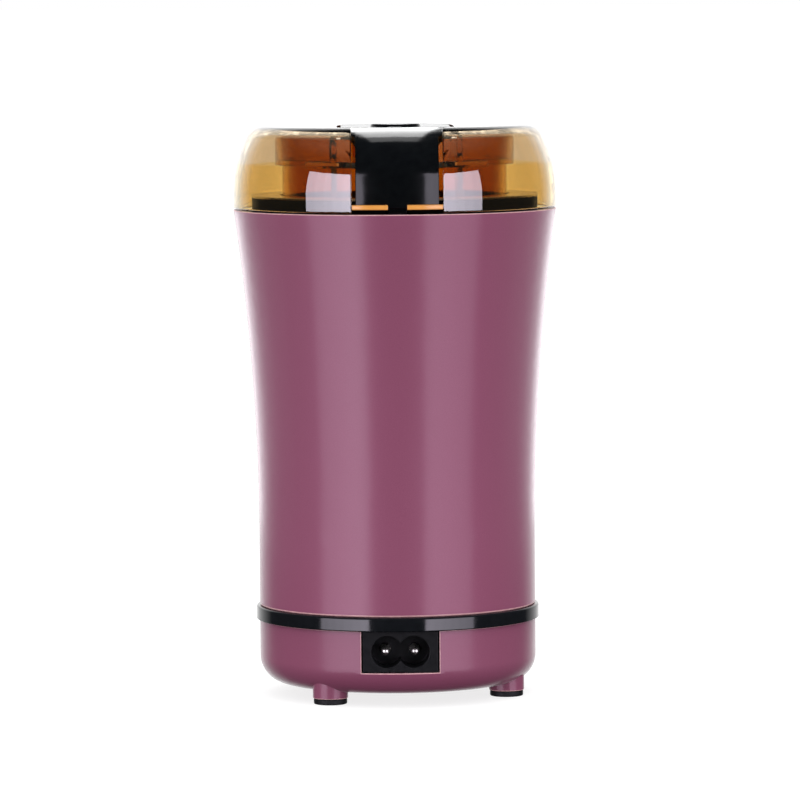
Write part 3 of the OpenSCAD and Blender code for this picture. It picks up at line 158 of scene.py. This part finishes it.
def mauve_coat():
    """Pearl satin paint: fine flake, faint mottling and orange peel."""
    f = Finish("mauve_coat", IOR=1.22, Coat_Weight=1.0, Coat_IOR=1.28, Coat_Roughness=0.2,
               Sheen_Weight=0.2, Sheen_Roughness=0.3)
    flake = f.blend(f.spread(f.grain(0.16, 1), 0, 1), (0.268, 0.066, 0.134), (0.306, 0.082, 0.162))
    colour = f.blend(f.spread(f.grain(9), 0, 0.35), flake, (0.284, 0.072, 0.144))
    peel = f.bump(f.grain(0.9), 0.006, f.bump(f.grain(0.14, 1), 0.002))
    return f.finish(Base_Color=colour, Roughness=f.spread(f.grain(3), 0.46, 0.52), Normal=peel)


def mauve_edge_painted_highlight():
    """The same paint made paler and warmer over an edge: a painted highlight along the rounded edges."""
    f = Finish("mauve_edge_painted_highlight", IOR=1.4)
    colour = f.blend(f.spread(f.grain(1.6, 3), 0, 1), (0.86, 0.50, 0.52), (0.66, 0.34, 0.38))
    return f.finish(Base_Color=colour, Roughness=f.spread(f.grain(1), 0.25, 0.35),
                    Normal=f.bump(f.grain(0.3), 0.004))


def black_gloss():
    """Polished black moulding with faint smears."""
    f = Finish("black_gloss", IOR=1.36)
    colour = f.blend(f.spread(f.grain(2), 0, 1), (0.0025, 0.003, 0.004), (0.004, 0.005, 0.006))
    smear = f.spread(f.grain(5, 4, (1, 1, 0.4)), 0.08, 0.15)
    return f.finish(Base_Color=colour, Roughness=smear, Normal=f.bump(f.grain(1.4), 0.004))


def black_lacquer():
    """The trim ring's harder and brighter gloss."""
    f = Finish("black_lacquer", IOR=1.5)
    colour = f.blend(f.spread(f.grain(2), 0, 1), (0.006, 0.007, 0.009), (0.009, 0.010, 0.013))
    smear = f.spread(f.grain(4, 4, (1, 1, 0.5)), 0.06, 0.12)
    return f.finish(Base_Color=colour, Roughness=smear, Normal=f.bump(f.grain(1.2), 0.003))


def black_matt():
    """Black moulding with a fine spark texture."""
    f = Finish("black_matt", IOR=1.3)
    spark = f.grain(0.22, 3)
    colour = f.blend(f.spread(spark, 0, 1), (0.0015, 0.002, 0.003), (0.004, 0.005, 0.007))
    return f.finish(Base_Color=colour, Roughness=f.spread(f.grain(1.5), 0.38, 0.5),
                    Normal=f.bump(spark, 0.02))


def dull_black_painted_shade():
    """Black moulding with its gloss taken out, as painted shade for the collar that stands under the lid.
    """
    f = Finish("dull_black_painted_shade", IOR=1.1)
    spark = f.grain(0.3, 3)
    colour = f.blend(f.spread(spark, 0, 1), (0.002, 0.002, 0.002), (0.006, 0.005, 0.005))
    return f.finish(Base_Color=colour, Roughness=f.spread(f.grain(1.5), 0.6, 0.75),
                    Normal=f.bump(spark, 0.02))


AMBER_IOR = 1.49
AMBER_COAT = {"Coat_Weight": 1.0, "Coat_IOR": 1.85, "Coat_Roughness": 0.01}


def clear_moulding(name, light, dark, roughness, **sockets):
    """Clear tinted moulding with faint flow marks; each wall takes the tint once."""
    f = Finish(name, Transmission_Weight=1.0, IOR=AMBER_IOR, **sockets)
    colour = f.blend(f.spread(f.grain(8, 2, (1, 1, 0.4)), 0, 1), light, dark)
    flow = f.bump(f.grain(7, 2, (1, 1, 0.5)), 0.008)
    low, high = roughness
    return f.finish(Base_Color=colour, Roughness=f.spread(f.grain(6, 4), low, high), Normal=flow)


def amber_clear():
    """The dome above the lever pocket's floor."""
    return clear_moulding("amber_clear", (1.0, 0.83, 0.60), (0.99, 0.81, 0.58), (0.0, 0.02),
                          **AMBER_COAT)


def amber_low_painted_shade():
    """The dome below the lever pocket's floor, in a darker, deeper tint that is painted shade."""
    return clear_moulding("amber_low_painted_shade", (1.0, 0.755, 0.365), (1.0, 0.74, 0.345), (0.0, 0.02),
                          **AMBER_COAT)


def amber_deep():
    """The lid's cup, moulded thicker and darker than its dome."""
    return clear_moulding("amber_deep", (0.62, 0.30, 0.05), (0.57, 0.27, 0.04), (0.02, 0.06))


def amber_rib_painted_glow():
    """A thin orange rib with a painted glow: a faint orange emission makes it stand out against what is
    behind it.
    """
    f = Finish("amber_rib_painted_glow", IOR=AMBER_IOR, Transmission_Weight=0.25,
               Emission_Color=(1.0, 0.5, 0.16, 1), Emission_Strength=0.15)
    colour = f.blend(f.spread(f.grain(3), 0, 1), (0.88, 0.42, 0.09), (0.82, 0.37, 0.07))
    return f.finish(Base_Color=colour, Roughness=f.spread(f.grain(1), 0.08, 0.18),
                    Normal=f.bump(f.grain(2), 0.004))


def rubber():
    """Soft black rubber, dusty on its edges."""
    f = Finish("rubber", IOR=1.3)
    colour = f.blend(f.wear(0.5), (0.004, 0.004, 0.006), (0.012, 0.012, 0.015))
    return f.finish(Base_Color=colour, Roughness=f.spread(f.grain(0.8), 0.5, 0.7),
                    Normal=f.bump(f.grain(0.3, 3), 0.02))


def metal(name, light, dark, roughness, lines=None):
    """Bare metal: light and dark tints, fine scuffs, and tool lines given as for Finish.lines."""
    f = Finish(name, Metallic=1.0)
    colour = f.blend(f.spread(f.grain(1.2, 4), 0, 1), dark, light)
    marks = f.bump(f.grain(0.12, 3), 0.003)
    for line in lines or ():
        marks = f.bump(f.lines(*line), 0.004, marks)
    low, high = roughness
    return f.finish(Base_Color=colour, Roughness=f.spread(f.grain(0.7, 3), low, high), Normal=marks)


def bright_steel():
    return metal("bright_steel", (0.74, 0.74, 0.76), (0.60, 0.60, 0.62), (0.16, 0.26),
                 [(0.25, "BANDS", "Z"), (0.25, "RINGS", "Z")])


def zinc():
    return metal("zinc", (0.60, 0.61, 0.64), (0.42, 0.43, 0.45), (0.28, 0.45))


def nickel():
    return metal("nickel", (0.80, 0.78, 0.74), (0.66, 0.64, 0.60), (0.22, 0.34),
                 [(0.12, "BANDS", "Y")])


def copper_wire():
    return metal("copper_wire", (0.80, 0.36, 0.18), (0.46, 0.17, 0.07), (0.2, 0.4),
                 [(0.4, "BANDS", "Z", 0.1)])


def brass():
    return metal("brass", (0.80, 0.60, 0.26), (0.58, 0.40, 0.14), (0.2, 0.35))


def core_iron():
    return metal("core_iron", (0.30, 0.30, 0.31), (0.12, 0.11, 0.11), (0.4, 0.6),
                 [(0.5, "BANDS", "Z", 0.0)])


def frame_alloy():
    return metal("frame_alloy", (0.56, 0.57, 0.58), (0.40, 0.41, 0.42), (0.4, 0.6))


def moulding(name, first, second, roughness, grain):
    """Plain moulded plastic: two close tints, a fine grain and a slight texture."""
    f = Finish(name, IOR=1.5)
    low, high = roughness
    return f.finish(Base_Color=f.blend(f.spread(f.grain(grain, 3), 0, 1), first, second),
                    Roughness=f.spread(f.grain(2), low, high), Normal=f.bump(f.grain(grain), 0.01))


def carbon():
    return moulding("carbon", (0.012, 0.012, 0.013), (0.03, 0.03, 0.032), (0.45, 0.65), 0.2)


def cream_plastic():
    return moulding("cream_plastic", (0.66, 0.58, 0.42), (0.72, 0.64, 0.48), (0.3, 0.42), 0.6)


def lead_brown():
    return moulding("lead_brown", (0.10, 0.035, 0.014), (0.14, 0.05, 0.02), (0.35, 0.5), 0.4)


def lead_blue():
    return moulding("lead_blue", (0.012, 0.05, 0.22), (0.02, 0.075, 0.30), (0.35, 0.5), 0.4)


def lead_black():
    return moulding("lead_black", (0.010, 0.010, 0.011), (0.018, 0.018, 0.02), (0.35, 0.5), 0.4)


FINISHES = {maker.__name__: maker() for maker in (
    mauve_coat, mauve_edge_painted_highlight, black_gloss, black_lacquer, black_matt, dull_black_painted_shade,
    amber_clear, amber_low_painted_shade, amber_deep, amber_rib_painted_glow, rubber, bright_steel, zinc, nickel, copper_wire, brass,
    core_iron, carbon, cream_plastic, frame_alloy, lead_brown, lead_blue, lead_black)}


# Mesh tools, in millimetres

# Points closer than this are one, and faces within this angle are one flat
MERGE = 0.002
FLAT = math.radians(0.05)


def arc(centre, radius, start, end, steps):
    """Points on an arc, ends included, with angles in degrees."""
    angles = [math.radians(start + (end - start) * k / steps) for k in range(steps + 1)]
    return [(centre[0] + radius * math.cos(a), centre[1] + radius * math.sin(a)) for a in angles]


def rounded(corners, steps=3):
    """A closed outline whose corners (x, y, radius) are rounded."""
    points = []
    for k, (x, y, radius) in enumerate(corners):
        here = Vector((x, y))
        before = (Vector(corners[k - 1][:2]) - here).normalized()
        after = (Vector(corners[(k + 1) % len(corners)][:2]) - here).normalized()
        half = before.angle(after) / 2
        reach = radius / math.tan(half)
        centre = here + (before + after).normalized() * radius / math.sin(half)
        first, last = here + before * reach - centre, here + after * reach - centre
        sweep = first.angle_signed(last)
        for s in range(steps + 1):
            turned = Matrix.Rotation(-sweep * s / steps, 2) @ first
            points.append(tuple(centre + turned))
    return points


def make(name, mesh, finish, body, stands_for):
    """An object of a finished bmesh in millimetres, riding on a body for the node it stands for."""
    bmesh.ops.scale(mesh, vec=(MM, MM, MM), verts=mesh.verts)
    bmesh.ops.recalc_face_normals(mesh, faces=mesh.faces)
    data = bpy.data.meshes.new(name)
    mesh.to_mesh(data)
    mesh.free()
    data.materials.append(FINISHES[finish])
    piece = bpy.data.objects.new(name, data)
    bpy.context.scene.collection.objects.link(piece)
    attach(piece, body)
    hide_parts(stands_for)
    return piece


def lathe(outline, closed, steps=128):
    """Turns an outline of (radius, height) points about the Z axis; an open one gets flat caps."""
    mesh = bmesh.new()
    rings = []
    for k in range(steps):
        turn = 2 * math.pi * k / steps
        rings.append([mesh.verts.new((r * math.cos(turn), r * math.sin(turn), z)) for r, z in outline])
    count = len(outline)
    for k in range(steps):
        here, there = rings[k], rings[(k + 1) % steps]
        for i in range(count if closed else count - 1):
            j = (i + 1) % count
            mesh.faces.new((here[i], there[i], there[j], here[j]))
    if not closed:
        mesh.faces.new([ring[0] for ring in reversed(rings)])
        mesh.faces.new([ring[-1] for ring in rings])
    return mesh


def prism(outline, low, high):
    """An outline of (x, y) points stood up from low to high."""
    mesh = bmesh.new()
    floor = [mesh.verts.new((x, y, low)) for x, y in outline]
    roof = [mesh.verts.new((x, y, high)) for x, y in outline]
    mesh.faces.new(list(reversed(floor)))
    mesh.faces.new(roof)
    for k in range(len(outline)):
        j = (k + 1) % len(outline)
        mesh.faces.new((floor[k], floor[j], roof[j], roof[k]))
    return mesh


def box(low, high):
    (x0, y0, z0), (x1, y1, z1) = low, high
    return prism([(x0, y0), (x1, y0), (x1, y1), (x0, y1)], z0, z1)


def carve(name, mesh, *steps):
    """A mesh after joining, cutting or crossing it with others: steps are (operation, bmesh)."""
    scratch = []
    for k, shape in enumerate([mesh] + [other for _, other in steps]):
        bmesh.ops.recalc_face_normals(shape, faces=shape.faces)
        data = bpy.data.meshes.new(f"{name}_{k}")
        shape.to_mesh(data)
        shape.free()
        scratch.append(bpy.data.objects.new(f"{name}_{k}", data))
        bpy.context.scene.collection.objects.link(scratch[-1])
    for (operation, _), other in zip(steps, scratch[1:]):
        cut = scratch[0].modifiers.new("cut", "BOOLEAN")
        cut.operation = operation
        cut.object = other
        cut.solver = "EXACT"
    made = bmesh.new()
    made.from_object(scratch[0], bpy.context.evaluated_depsgraph_get())
    for piece in scratch:
        data = piece.data
        bpy.data.objects.remove(piece)
        bpy.data.meshes.remove(data)
    return made


def node_copy(name):
    """A CAD node's own mesh in millimetres, closed, with its flats made whole."""
    mesh = bmesh.new()
    mesh.from_mesh(NODES[name].data)
    bmesh.ops.scale(mesh, vec=(1 / MM, 1 / MM, 1 / MM), verts=mesh.verts)
    bmesh.ops.remove_doubles(mesh, verts=mesh.verts, dist=MERGE)
    bmesh.ops.dissolve_limit(mesh, angle_limit=FLAT, verts=mesh.verts, edges=mesh.edges)
    bmesh.ops.recalc_face_normals(mesh, faces=mesh.faces)
    return mesh


# CAD nodes: soft edges and their finish

CREASE = math.radians(28)
EDGE_STEPS = 2
# How far edges are rounded, in millimetres
SKIN_EDGE = 0.25
NODE_EDGES = {
    "trim_ring": 0.2, "press_lever": 0.2, "inlet_housing": 0.2, "inlet_pin_left": 0.2,
    "inlet_pin_right": 0.2, "bowl": 0.2, "bowl_collar": 0.2, "lid_cup": 0.15,
    "foot_pad_left": 0.35, "foot_pad_right": 0.35, "foot_pad_back": 0.35}
# Nodes whose finish isn't the one of their slot; the collar's dull black is painted shade under the lid
OWN_FINISH = {"trim_ring": "black_lacquer", "bowl_collar": "dull_black_painted_shade"}


def soften(piece, width, weld=True):
    """Rounds the sharp edges of a piece by width millimetres and keeps its flats flat."""
    if weld:
        piece.modifiers.new("weld", "WELD").merge_threshold = MERGE * MM
        flats = piece.modifiers.new("flats", "DECIMATE")
        flats.decimate_type = "DISSOLVE"
        flats.angle_limit = FLAT
    bevel = piece.modifiers.new("edges", "BEVEL")
    bevel.width = width * MM
    bevel.segments = EDGE_STEPS
    bevel.limit_method = "ANGLE"
    bevel.angle_limit = CREASE
    bevel.use_clamp_overlap = False
    for face in piece.data.polygons:
        face.use_smooth = True
    piece.modifiers.new("normals", "WEIGHTED_NORMAL").keep_sharp = False


def edged(name, body, width, edge):
    """A node's shape again, with its outward edges rounded in a paler finish of their own, a painted
    highlight.
    """
    mesh = node_copy(name)
    weight = mesh.edges.layers.float.new("bevel_weight_edge")
    for line in mesh.edges:
        if len(line.link_faces) == 2 and line.calc_face_angle() > CREASE:
            line[weight] = float(line.is_convex)
            line.smooth = line.is_convex
    for face in mesh.faces:
        face.smooth = True
    piece = make(f"{name}_skin", mesh, SLOT_OF[name], body, name)
    piece.data.materials.append(FINISHES[edge])
    bevel = piece.modifiers.new("edges", "BEVEL")
    bevel.width = width * MM
    bevel.segments = EDGE_STEPS
    bevel.limit_method = "WEIGHT"
    # The rounded edges take the paler edge finish, a painted highlight
    bevel.material = len(piece.data.materials) - 1
    bevel.use_clamp_overlap = False
    piece.modifiers.new("normals", "WEIGHTED_NORMAL").keep_sharp = True
    return piece


for name, node in NODES.items():
    node.data.materials.clear()
    node.data.materials.append(FINISHES[OWN_FINISH.get(name, SLOT_OF[name])])

# Body and pan get paler rounded edges, a painted highlight
SKINS = {name: edged(name, "housing", SKIN_EDGE, "mauve_edge_painted_highlight") for name in ("body_shell", "base_pan")}
for name, width in NODE_EDGES.items():
    soften(NODES[name], width)


# Lid: a clear dome, darker below its pocket as painted shade, and ribs across the opening and ledges with
# a painted glow, in millimetres

LID_LOW, LID_HIGH = (corner / MM for corner in map(Vector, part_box("lid_shell")))
LID_R = LID_HIGH.x
LID_Z, TOP_Z = LID_LOW.z, LID_HIGH.z
# The dome's wall, upright rim with its rounding, flat crown and shoulder
LID_T = 2.15
RIM_H, RIM_ROUND = 4.0, 0.5
CROWN_IN = 9.1
CROWN_R = LID_R - CROWN_IN
SHOULDER_R = 5.5
DOME_EDGE = 0.2
SIDE_STEPS, SHOULDER_STEPS, PAD_STEPS, RIM_STEPS = 16, 12, 32, 4
# The lever's pocket: its floor, the half widths of band and pad, where the band widens, and how far
# from the axis the gap in the front ends
POCKET_H = 10.0
POCKET_Z = TOP_Z - POCKET_H
OPENING, PAD = 13.2, 17.1
PAD_END_Y = -5.0
LEVER_ROUND, FLARE_L = 16.0, 7.0
LEVER_FLAT = LID_R - LID_T - LEVER_ROUND
FLARE = (LEVER_FLAT, LEVER_FLAT + FLARE_L)
TONGUE_IN = 42.36
# Bars: how far in from the wall their faces lie, their heights, and where they start and end sideways
RIB_IN, RIB_RISE, RIB_REACH = (1.8, 0.05), (0.9, 2.3), (2.8, OPENING - 0.05)
LEDGE_IN, LEDGE_DROP, LEDGE_REACH = (0.6, 0.06), (1.1, 0.2), (PAD - 0.6, 25.6)
BAR_ROUND, BAR_EDGE = 0.2, 0.12
# Below this height the dome takes a darker tint, painted shade
PAINTED_SHADE_Z = POCKET_Z - LEDGE_DROP[0]
# Cutters end clear of the lid, or this far past what they cut
FRONT_Y, ABOVE_Z = -LID_R - 2, TOP_Z + 5
OVER = 1


def dome_line(inset, bottom):
    """The dome's outline from its rim to its flat crown, drawn in by inset."""
    run, rise = LID_R - CROWN_R, TOP_Z - LID_Z - RIM_H
    bow = (run * run + rise * rise - 2 * rise * SHOULDER_R) / (2 * (run - SHOULDER_R))
    side = (LID_R - bow, LID_Z + RIM_H)
    crown = (CROWN_R, TOP_Z - SHOULDER_R)
    turn = math.degrees(math.atan2(crown[1] - side[1], crown[0] - side[0]))
    return ([(LID_R - inset, bottom)] + arc(side, bow - inset, 0, turn, SIDE_STEPS)
            + arc(crown, SHOULDER_R - inset, turn, 90, SHOULDER_STEPS)[1:])


def dome_radius(inset, z):
    """The dome's radius at a height, read off its outline."""
    line = dome_line(inset, LID_Z)
    for (r0, z0), (r1, z1) in zip(line, line[1:]):
        if z0 <= z <= z1:
            return r0 + (r1 - r0) * (z - z0) / (z1 - z0)
    return line[-1][0]


def lever_opening(low):
    """The lever's opening from above, stood up from low: a band that widens into a round-ended pad."""
    band = [(-OPENING, FRONT_Y), (OPENING, FRONT_Y), (OPENING, -FLARE[1]), (PAD, -FLARE[0])]
    end = arc((0, PAD_END_Y), PAD, 0, 180, PAD_STEPS)
    return prism(band + end + [(-PAD, -FLARE[0]), (-OPENING, -FLARE[1])], low, ABOVE_Z)


def front_opening():
    """The gap in the lid's front below the lever, where its tongue comes down."""
    return box((-OPENING, FRONT_Y, LID_Z - OVER), (OPENING, -TONGUE_IN, POCKET_Z + OVER))


def lid_dome():
    """The dome as one smooth turned body, opened for the lever, with painted shade below its pocket."""
    edge_z = LID_Z + RIM_ROUND
    outer = dome_line(0, edge_z)
    inner = dome_line(LID_T, edge_z)
    rim = (arc((LID_R - LID_T + RIM_ROUND, edge_z), RIM_ROUND, 180, 270, RIM_STEPS)
           + arc((LID_R - RIM_ROUND, edge_z), RIM_ROUND, 270, 360, RIM_STEPS))
    shell = lathe(inner[::-1] + rim[1:-1] + outer, False)
    mesh = carve("dome", shell, ("DIFFERENCE", lever_opening(POCKET_Z)), ("DIFFERENCE", front_opening()))
    bmesh.ops.bisect_plane(mesh, geom=mesh.verts[:] + mesh.edges[:] + mesh.faces[:],
                           plane_co=(0, 0, PAINTED_SHADE_Z), plane_no=(0, 0, 1))
    dome = make("lid_dome", mesh, "amber_clear", "lid", "lid_shell")
    # Faces below the pocket's floor take the darker, deeper amber tint, a painted shade
    dome.data.materials.append(FINISHES["amber_low_painted_shade"])
    for face in dome.data.polygons:
        face.material_index = int(face.center.z < PAINTED_SHADE_Z * MM)
    soften(dome, DOME_EDGE, False)


def front_arc(name, radii, heights, reach):
    """A bar that follows the lid's front from one width to another on both sides."""
    (inner, outer), (low, high), (start, end) = radii, heights, reach
    for side, sign in (("left", -1), ("right", 1)):
        left, right = sorted((sign * start, sign * end))
        corners = ((inner, low), (outer, low), (outer, high), (inner, high))
        section = rounded([(*corner, BAR_ROUND) for corner in corners])
        cut = box((left, FRONT_Y, low - OVER), (right, 0, high + OVER))
        mesh = carve(name, lathe(section, True), ("INTERSECT", cut))
        # Ribs and ledges take the orange finish whose glow is painted in by emission
        soften(make(f"{name}_{side}", mesh, "amber_rib_painted_glow", "lid", "lid_shell"), BAR_EDGE, False)


lid_dome()
front_arc("lid_rib", [LID_R - d for d in RIB_IN], [LID_Z + d for d in RIB_RISE], RIB_REACH)
LEDGE_R = dome_radius(LID_T, POCKET_Z)
front_arc("lid_ledge", [LEDGE_R - d for d in LEDGE_IN], [POCKET_Z - d for d in LEDGE_DROP], LEDGE_REACH)


# Studio: floor, world, softboxes, in metres

FLOOR_HALF = 40
FLOOR_GLOW, FLOOR_GREY = 0.80, 0.26
# World light by a ray's direction: axis, where the ramp starts and ends, and its levels there
AROUND = ("Z", -0.7, 0.2, 0.1, 1.25)
MIRRORED = ("Y", 0.6, 0.97, 0.02, 1.2)
THROUGH_LID = (("Y", 0.45, 0.85, 0.04, 1.06), ("Y", -0.85, -0.97, 0.0, 1.0), ("Z", 0.5, 0.9, 0.0, 0.7))
BACKDROP = 1.0
# Softboxes: panels in an arc at each side, with side, sign, first angle in degrees and strength
SOFTBOX_SIDES = (("left", -1, 24.0, 0.93), ("right", 1, 21.0, 0.88))
SOFTBOX_REACH, SOFTBOX_DROP, SOFTBOX_H = 1.3, 0.04, 1.1
SOFTBOX_PANELS, PANEL_DEGREES = 6, 6.9
PANEL_RADIANCE, PANEL_FALL = 5.2, 0.35
SOFTBOX_COLOUR = (1.0, 0.93, 1.08)
# Flank panels, mirrored by the body alone
FLANK_RADIANCE = (0.5, 0.7, 0.9, 1.2)
FLANK_START, FLANK_STEP = 82, 23
FLANK_REACH, FLANK_Z, FLANK_SIZE = 0.5, 0.057, (0.21, 0.106)
FLANK_COLOUR = (1.0, 0.96, 1.02)
# Strips over the lever, mirrored by it alone: name, near end, far end and radiance
STRIPS = (("strip_near", 0.0, 0.1, 2.4), ("strip_far", 0.1, 0.95, 7.5))
STRIP_Z, STRIP_W = 0.5, 0.12
# The wide lamp that gives the diffuse light from above
OVERHEAD_FROM, OVERHEAD_SIZE, OVERHEAD_RADIANCE = Vector((0, 0.1, 1.3)), (1.2, 1.2), 1.2
WHITE = (1, 1, 1)


def emission_floor():
    """A pale floor that is almost white by itself and takes a faint shadow."""
    material = bpy.data.materials.new("floor")
    material.use_nodes = True
    tree = material.node_tree
    tree.nodes.clear()
    output = tree.nodes.new("ShaderNodeOutputMaterial")
    both = tree.nodes.new("ShaderNodeAddShader")
    glow = tree.nodes.new("ShaderNodeEmission")
    glow.inputs["Strength"].default_value = FLOOR_GLOW
    matt = tree.nodes.new("ShaderNodeBsdfDiffuse")
    matt.inputs["Color"].default_value = (FLOOR_GREY, FLOOR_GREY, FLOOR_GREY, 1)
    tree.links.new(glow.outputs[0], both.inputs[0])
    tree.links.new(matt.outputs[0], both.inputs[1])
    tree.links.new(both.outputs[0], output.inputs["Surface"])
    return material


def lay_floor(half):
    """A square floor that only the camera sees, so that it isn't mirrored in the object."""
    mesh = bpy.data.meshes.new("floor")
    corners = [(-half, -half, 0), (half, -half, 0), (half, half, 0), (-half, half, 0)]
    mesh.from_pydata(corners, [], [(0, 1, 2, 3)])
    mesh.materials.append(emission_floor())
    floor = bpy.data.objects.new("floor", mesh)
    bpy.context.scene.collection.objects.link(floor)
    floor.visible_glossy = False
    floor.visible_diffuse = False
    floor.visible_transmission = False
    floor.visible_shadow = False


def light_world():
    """White for the camera; graded by direction for diffuse light, gloss and light through the lid."""
    world = bpy.data.worlds.new("studio")
    bpy.context.scene.world = world
    world.use_nodes = True
    tree = world.node_tree
    tree.nodes.clear()
    path = tree.nodes.new("ShaderNodeLightPath")
    aim = tree.nodes.new("ShaderNodeSeparateXYZ")
    tree.links.new(tree.nodes.new("ShaderNodeTexCoord").outputs["Generated"], aim.inputs[0])

    def ramp(axis, start, end, low, high):
        node = tree.nodes.new("ShaderNodeMapRange")
        tree.links.new(aim.outputs[axis], node.inputs["Value"])
        limits = {"From Min": start, "From Max": end, "To Min": low, "To Max": high}
        for key, value in limits.items():
            node.inputs[key].default_value = value
        return node.outputs["Result"]

    def brighter(first, second):
        node = tree.nodes.new("ShaderNodeMath")
        node.operation = "MAXIMUM"
        tree.links.new(first, node.inputs[0])
        tree.links.new(second, node.inputs[1])
        return node.outputs[0]

    def choose(flag, no, yes):
        node = tree.nodes.new("ShaderNodeMix")
        tree.links.new(path.outputs[flag], node.inputs[0])
        for slot, value in zip(MIX_NUMBERS, (no, yes)):
            if isinstance(value, bpy.types.NodeSocket):
                tree.links.new(value, node.inputs[slot])
            else:
                node.inputs[slot].default_value = value
        return node.outputs[MIX_NUMBER_OUT]

    behind, front, above = (ramp(*limits) for limits in THROUGH_LID)
    through = brighter(brighter(behind, front), above)
    level = choose("Is Glossy Ray", ramp(*AROUND), ramp(*MIRRORED))
    level = choose("Is Transmission Ray", level, through)
    level = choose("Is Camera Ray", level, BACKDROP)
    background = tree.nodes.new("ShaderNodeBackground")
    background.inputs["Color"].default_value = (1, 1, 1, 1)
    tree.links.new(level, background.inputs["Strength"])
    output = tree.nodes.new("ShaderNodeOutputWorld")
    tree.links.new(background.outputs[0], output.inputs["Surface"])


def area_light(name, place, target, size, radiance, colour, diffuse=False, only=None):
    """A rectangular lamp of an even radiance that lights or else mirrors, on one piece only or on all."""
    width, height = size
    data = bpy.data.lights.new(name, "AREA")
    data.shape = "RECTANGLE"
    data.size = width
    data.size_y = height
    data.energy = radiance * math.pi * width * height
    data.color = colour
    lamp = bpy.data.objects.new(name, data)
    aim = (target - place).to_track_quat("-Z", "Y")
    lamp.matrix_world = Matrix.Translation(place) @ aim.to_matrix().to_4x4()
    lamp.visible_diffuse = diffuse
    lamp.visible_glossy = not diffuse
    lamp.visible_camera = False
    lamp.visible_transmission = False
    bpy.context.scene.collection.objects.link(lamp)
    if only:
        lamp.light_linking.receiver_collection = bpy.data.collections.new(f"{name}_on")
        lamp.light_linking.receiver_collection.objects.link(only)


def light_stage():
    """Two softboxes in front, panels beside the body, strips over the lever and a wide lamp overhead."""
    middle = Vector((0, 0, 0.5 * cad_box[1][2]))
    width = 2 * SOFTBOX_REACH * math.tan(math.radians(PANEL_DEGREES / 2))
    for side, sign, start, strength in SOFTBOX_SIDES:
        for k in range(SOFTBOX_PANELS):
            radiance = PANEL_RADIANCE - PANEL_FALL * k
            angle = sign * math.radians(start + PANEL_DEGREES * (k + 0.5))
            place = middle + SOFTBOX_REACH * Vector((math.sin(angle), -math.cos(angle), -SOFTBOX_DROP))
            area_light(f"softbox_{side}_{k}", place, Vector((0, 0, place.z)), (width, SOFTBOX_H),
                       strength * radiance, SOFTBOX_COLOUR)
        for k, radiance in enumerate(FLANK_RADIANCE):
            angle = sign * math.radians(FLANK_START + FLANK_STEP * k)
            place = Vector((FLANK_REACH * math.sin(angle), -FLANK_REACH * math.cos(angle), FLANK_Z))
            area_light(f"flank_{side}_{k}", place, Vector((0, 0, place.z)), FLANK_SIZE, radiance,
                       FLANK_COLOUR, only=SKINS["body_shell"])
    for name, near, far, radiance in STRIPS:
        strip = Vector((0, (near + far) / 2, STRIP_Z))
        area_light(name, strip, strip - Vector((0, 0, 1)), (STRIP_W, far - near), radiance, WHITE,
                   only=NODES["press_lever"])
    area_light("overhead", middle + OVERHEAD_FROM, middle, OVERHEAD_SIZE, OVERHEAD_RADIANCE, WHITE,
               diffuse=True)


lay_floor(FLOOR_HALF)
light_world()
light_stage()


# Camera, at the photograph's angle, in metres

IMAGE_PIXELS, FOCAL_PIXELS = 800, 5670
SENSOR_MM, CLIP_END = 36, 100


def aim_camera():
    """Stands where the ellipses of the seam and the ring put it: far off, a little above the lid."""
    distance, height, level = 1.68, 0.212, 0.0871
    turn, roll, aside = math.radians(1.0), math.radians(0.43), 1.13 * MM
    place = Vector((-distance * math.sin(turn), -distance * math.cos(turn), height))
    right = Vector((math.cos(turn), -math.sin(turn), 0))
    forward = (Vector((0, 0, level)) + aside * right - place).normalized()
    right = forward.cross(Vector((0, 0, 1))).normalized()
    up = right.cross(forward)
    tilted_right = right * math.cos(roll) - up * math.sin(roll)
    tilted_up = up * math.cos(roll) + right * math.sin(roll)
    axes = Matrix((tilted_right, tilted_up, -forward)).transposed()
    data = bpy.data.cameras.new("camera")
    data.sensor_width = SENSOR_MM
    data.lens = FOCAL_PIXELS / IMAGE_PIXELS * data.sensor_width
    data.clip_end = CLIP_END
    camera = bpy.data.objects.new("camera", data)
    camera.matrix_world = Matrix.Translation(place) @ axes.to_4x4()
    bpy.context.scene.collection.objects.link(camera)
    bpy.context.scene.camera = camera


aim_camera()
bpy.context.scene.view_settings.view_transform = "Standard"
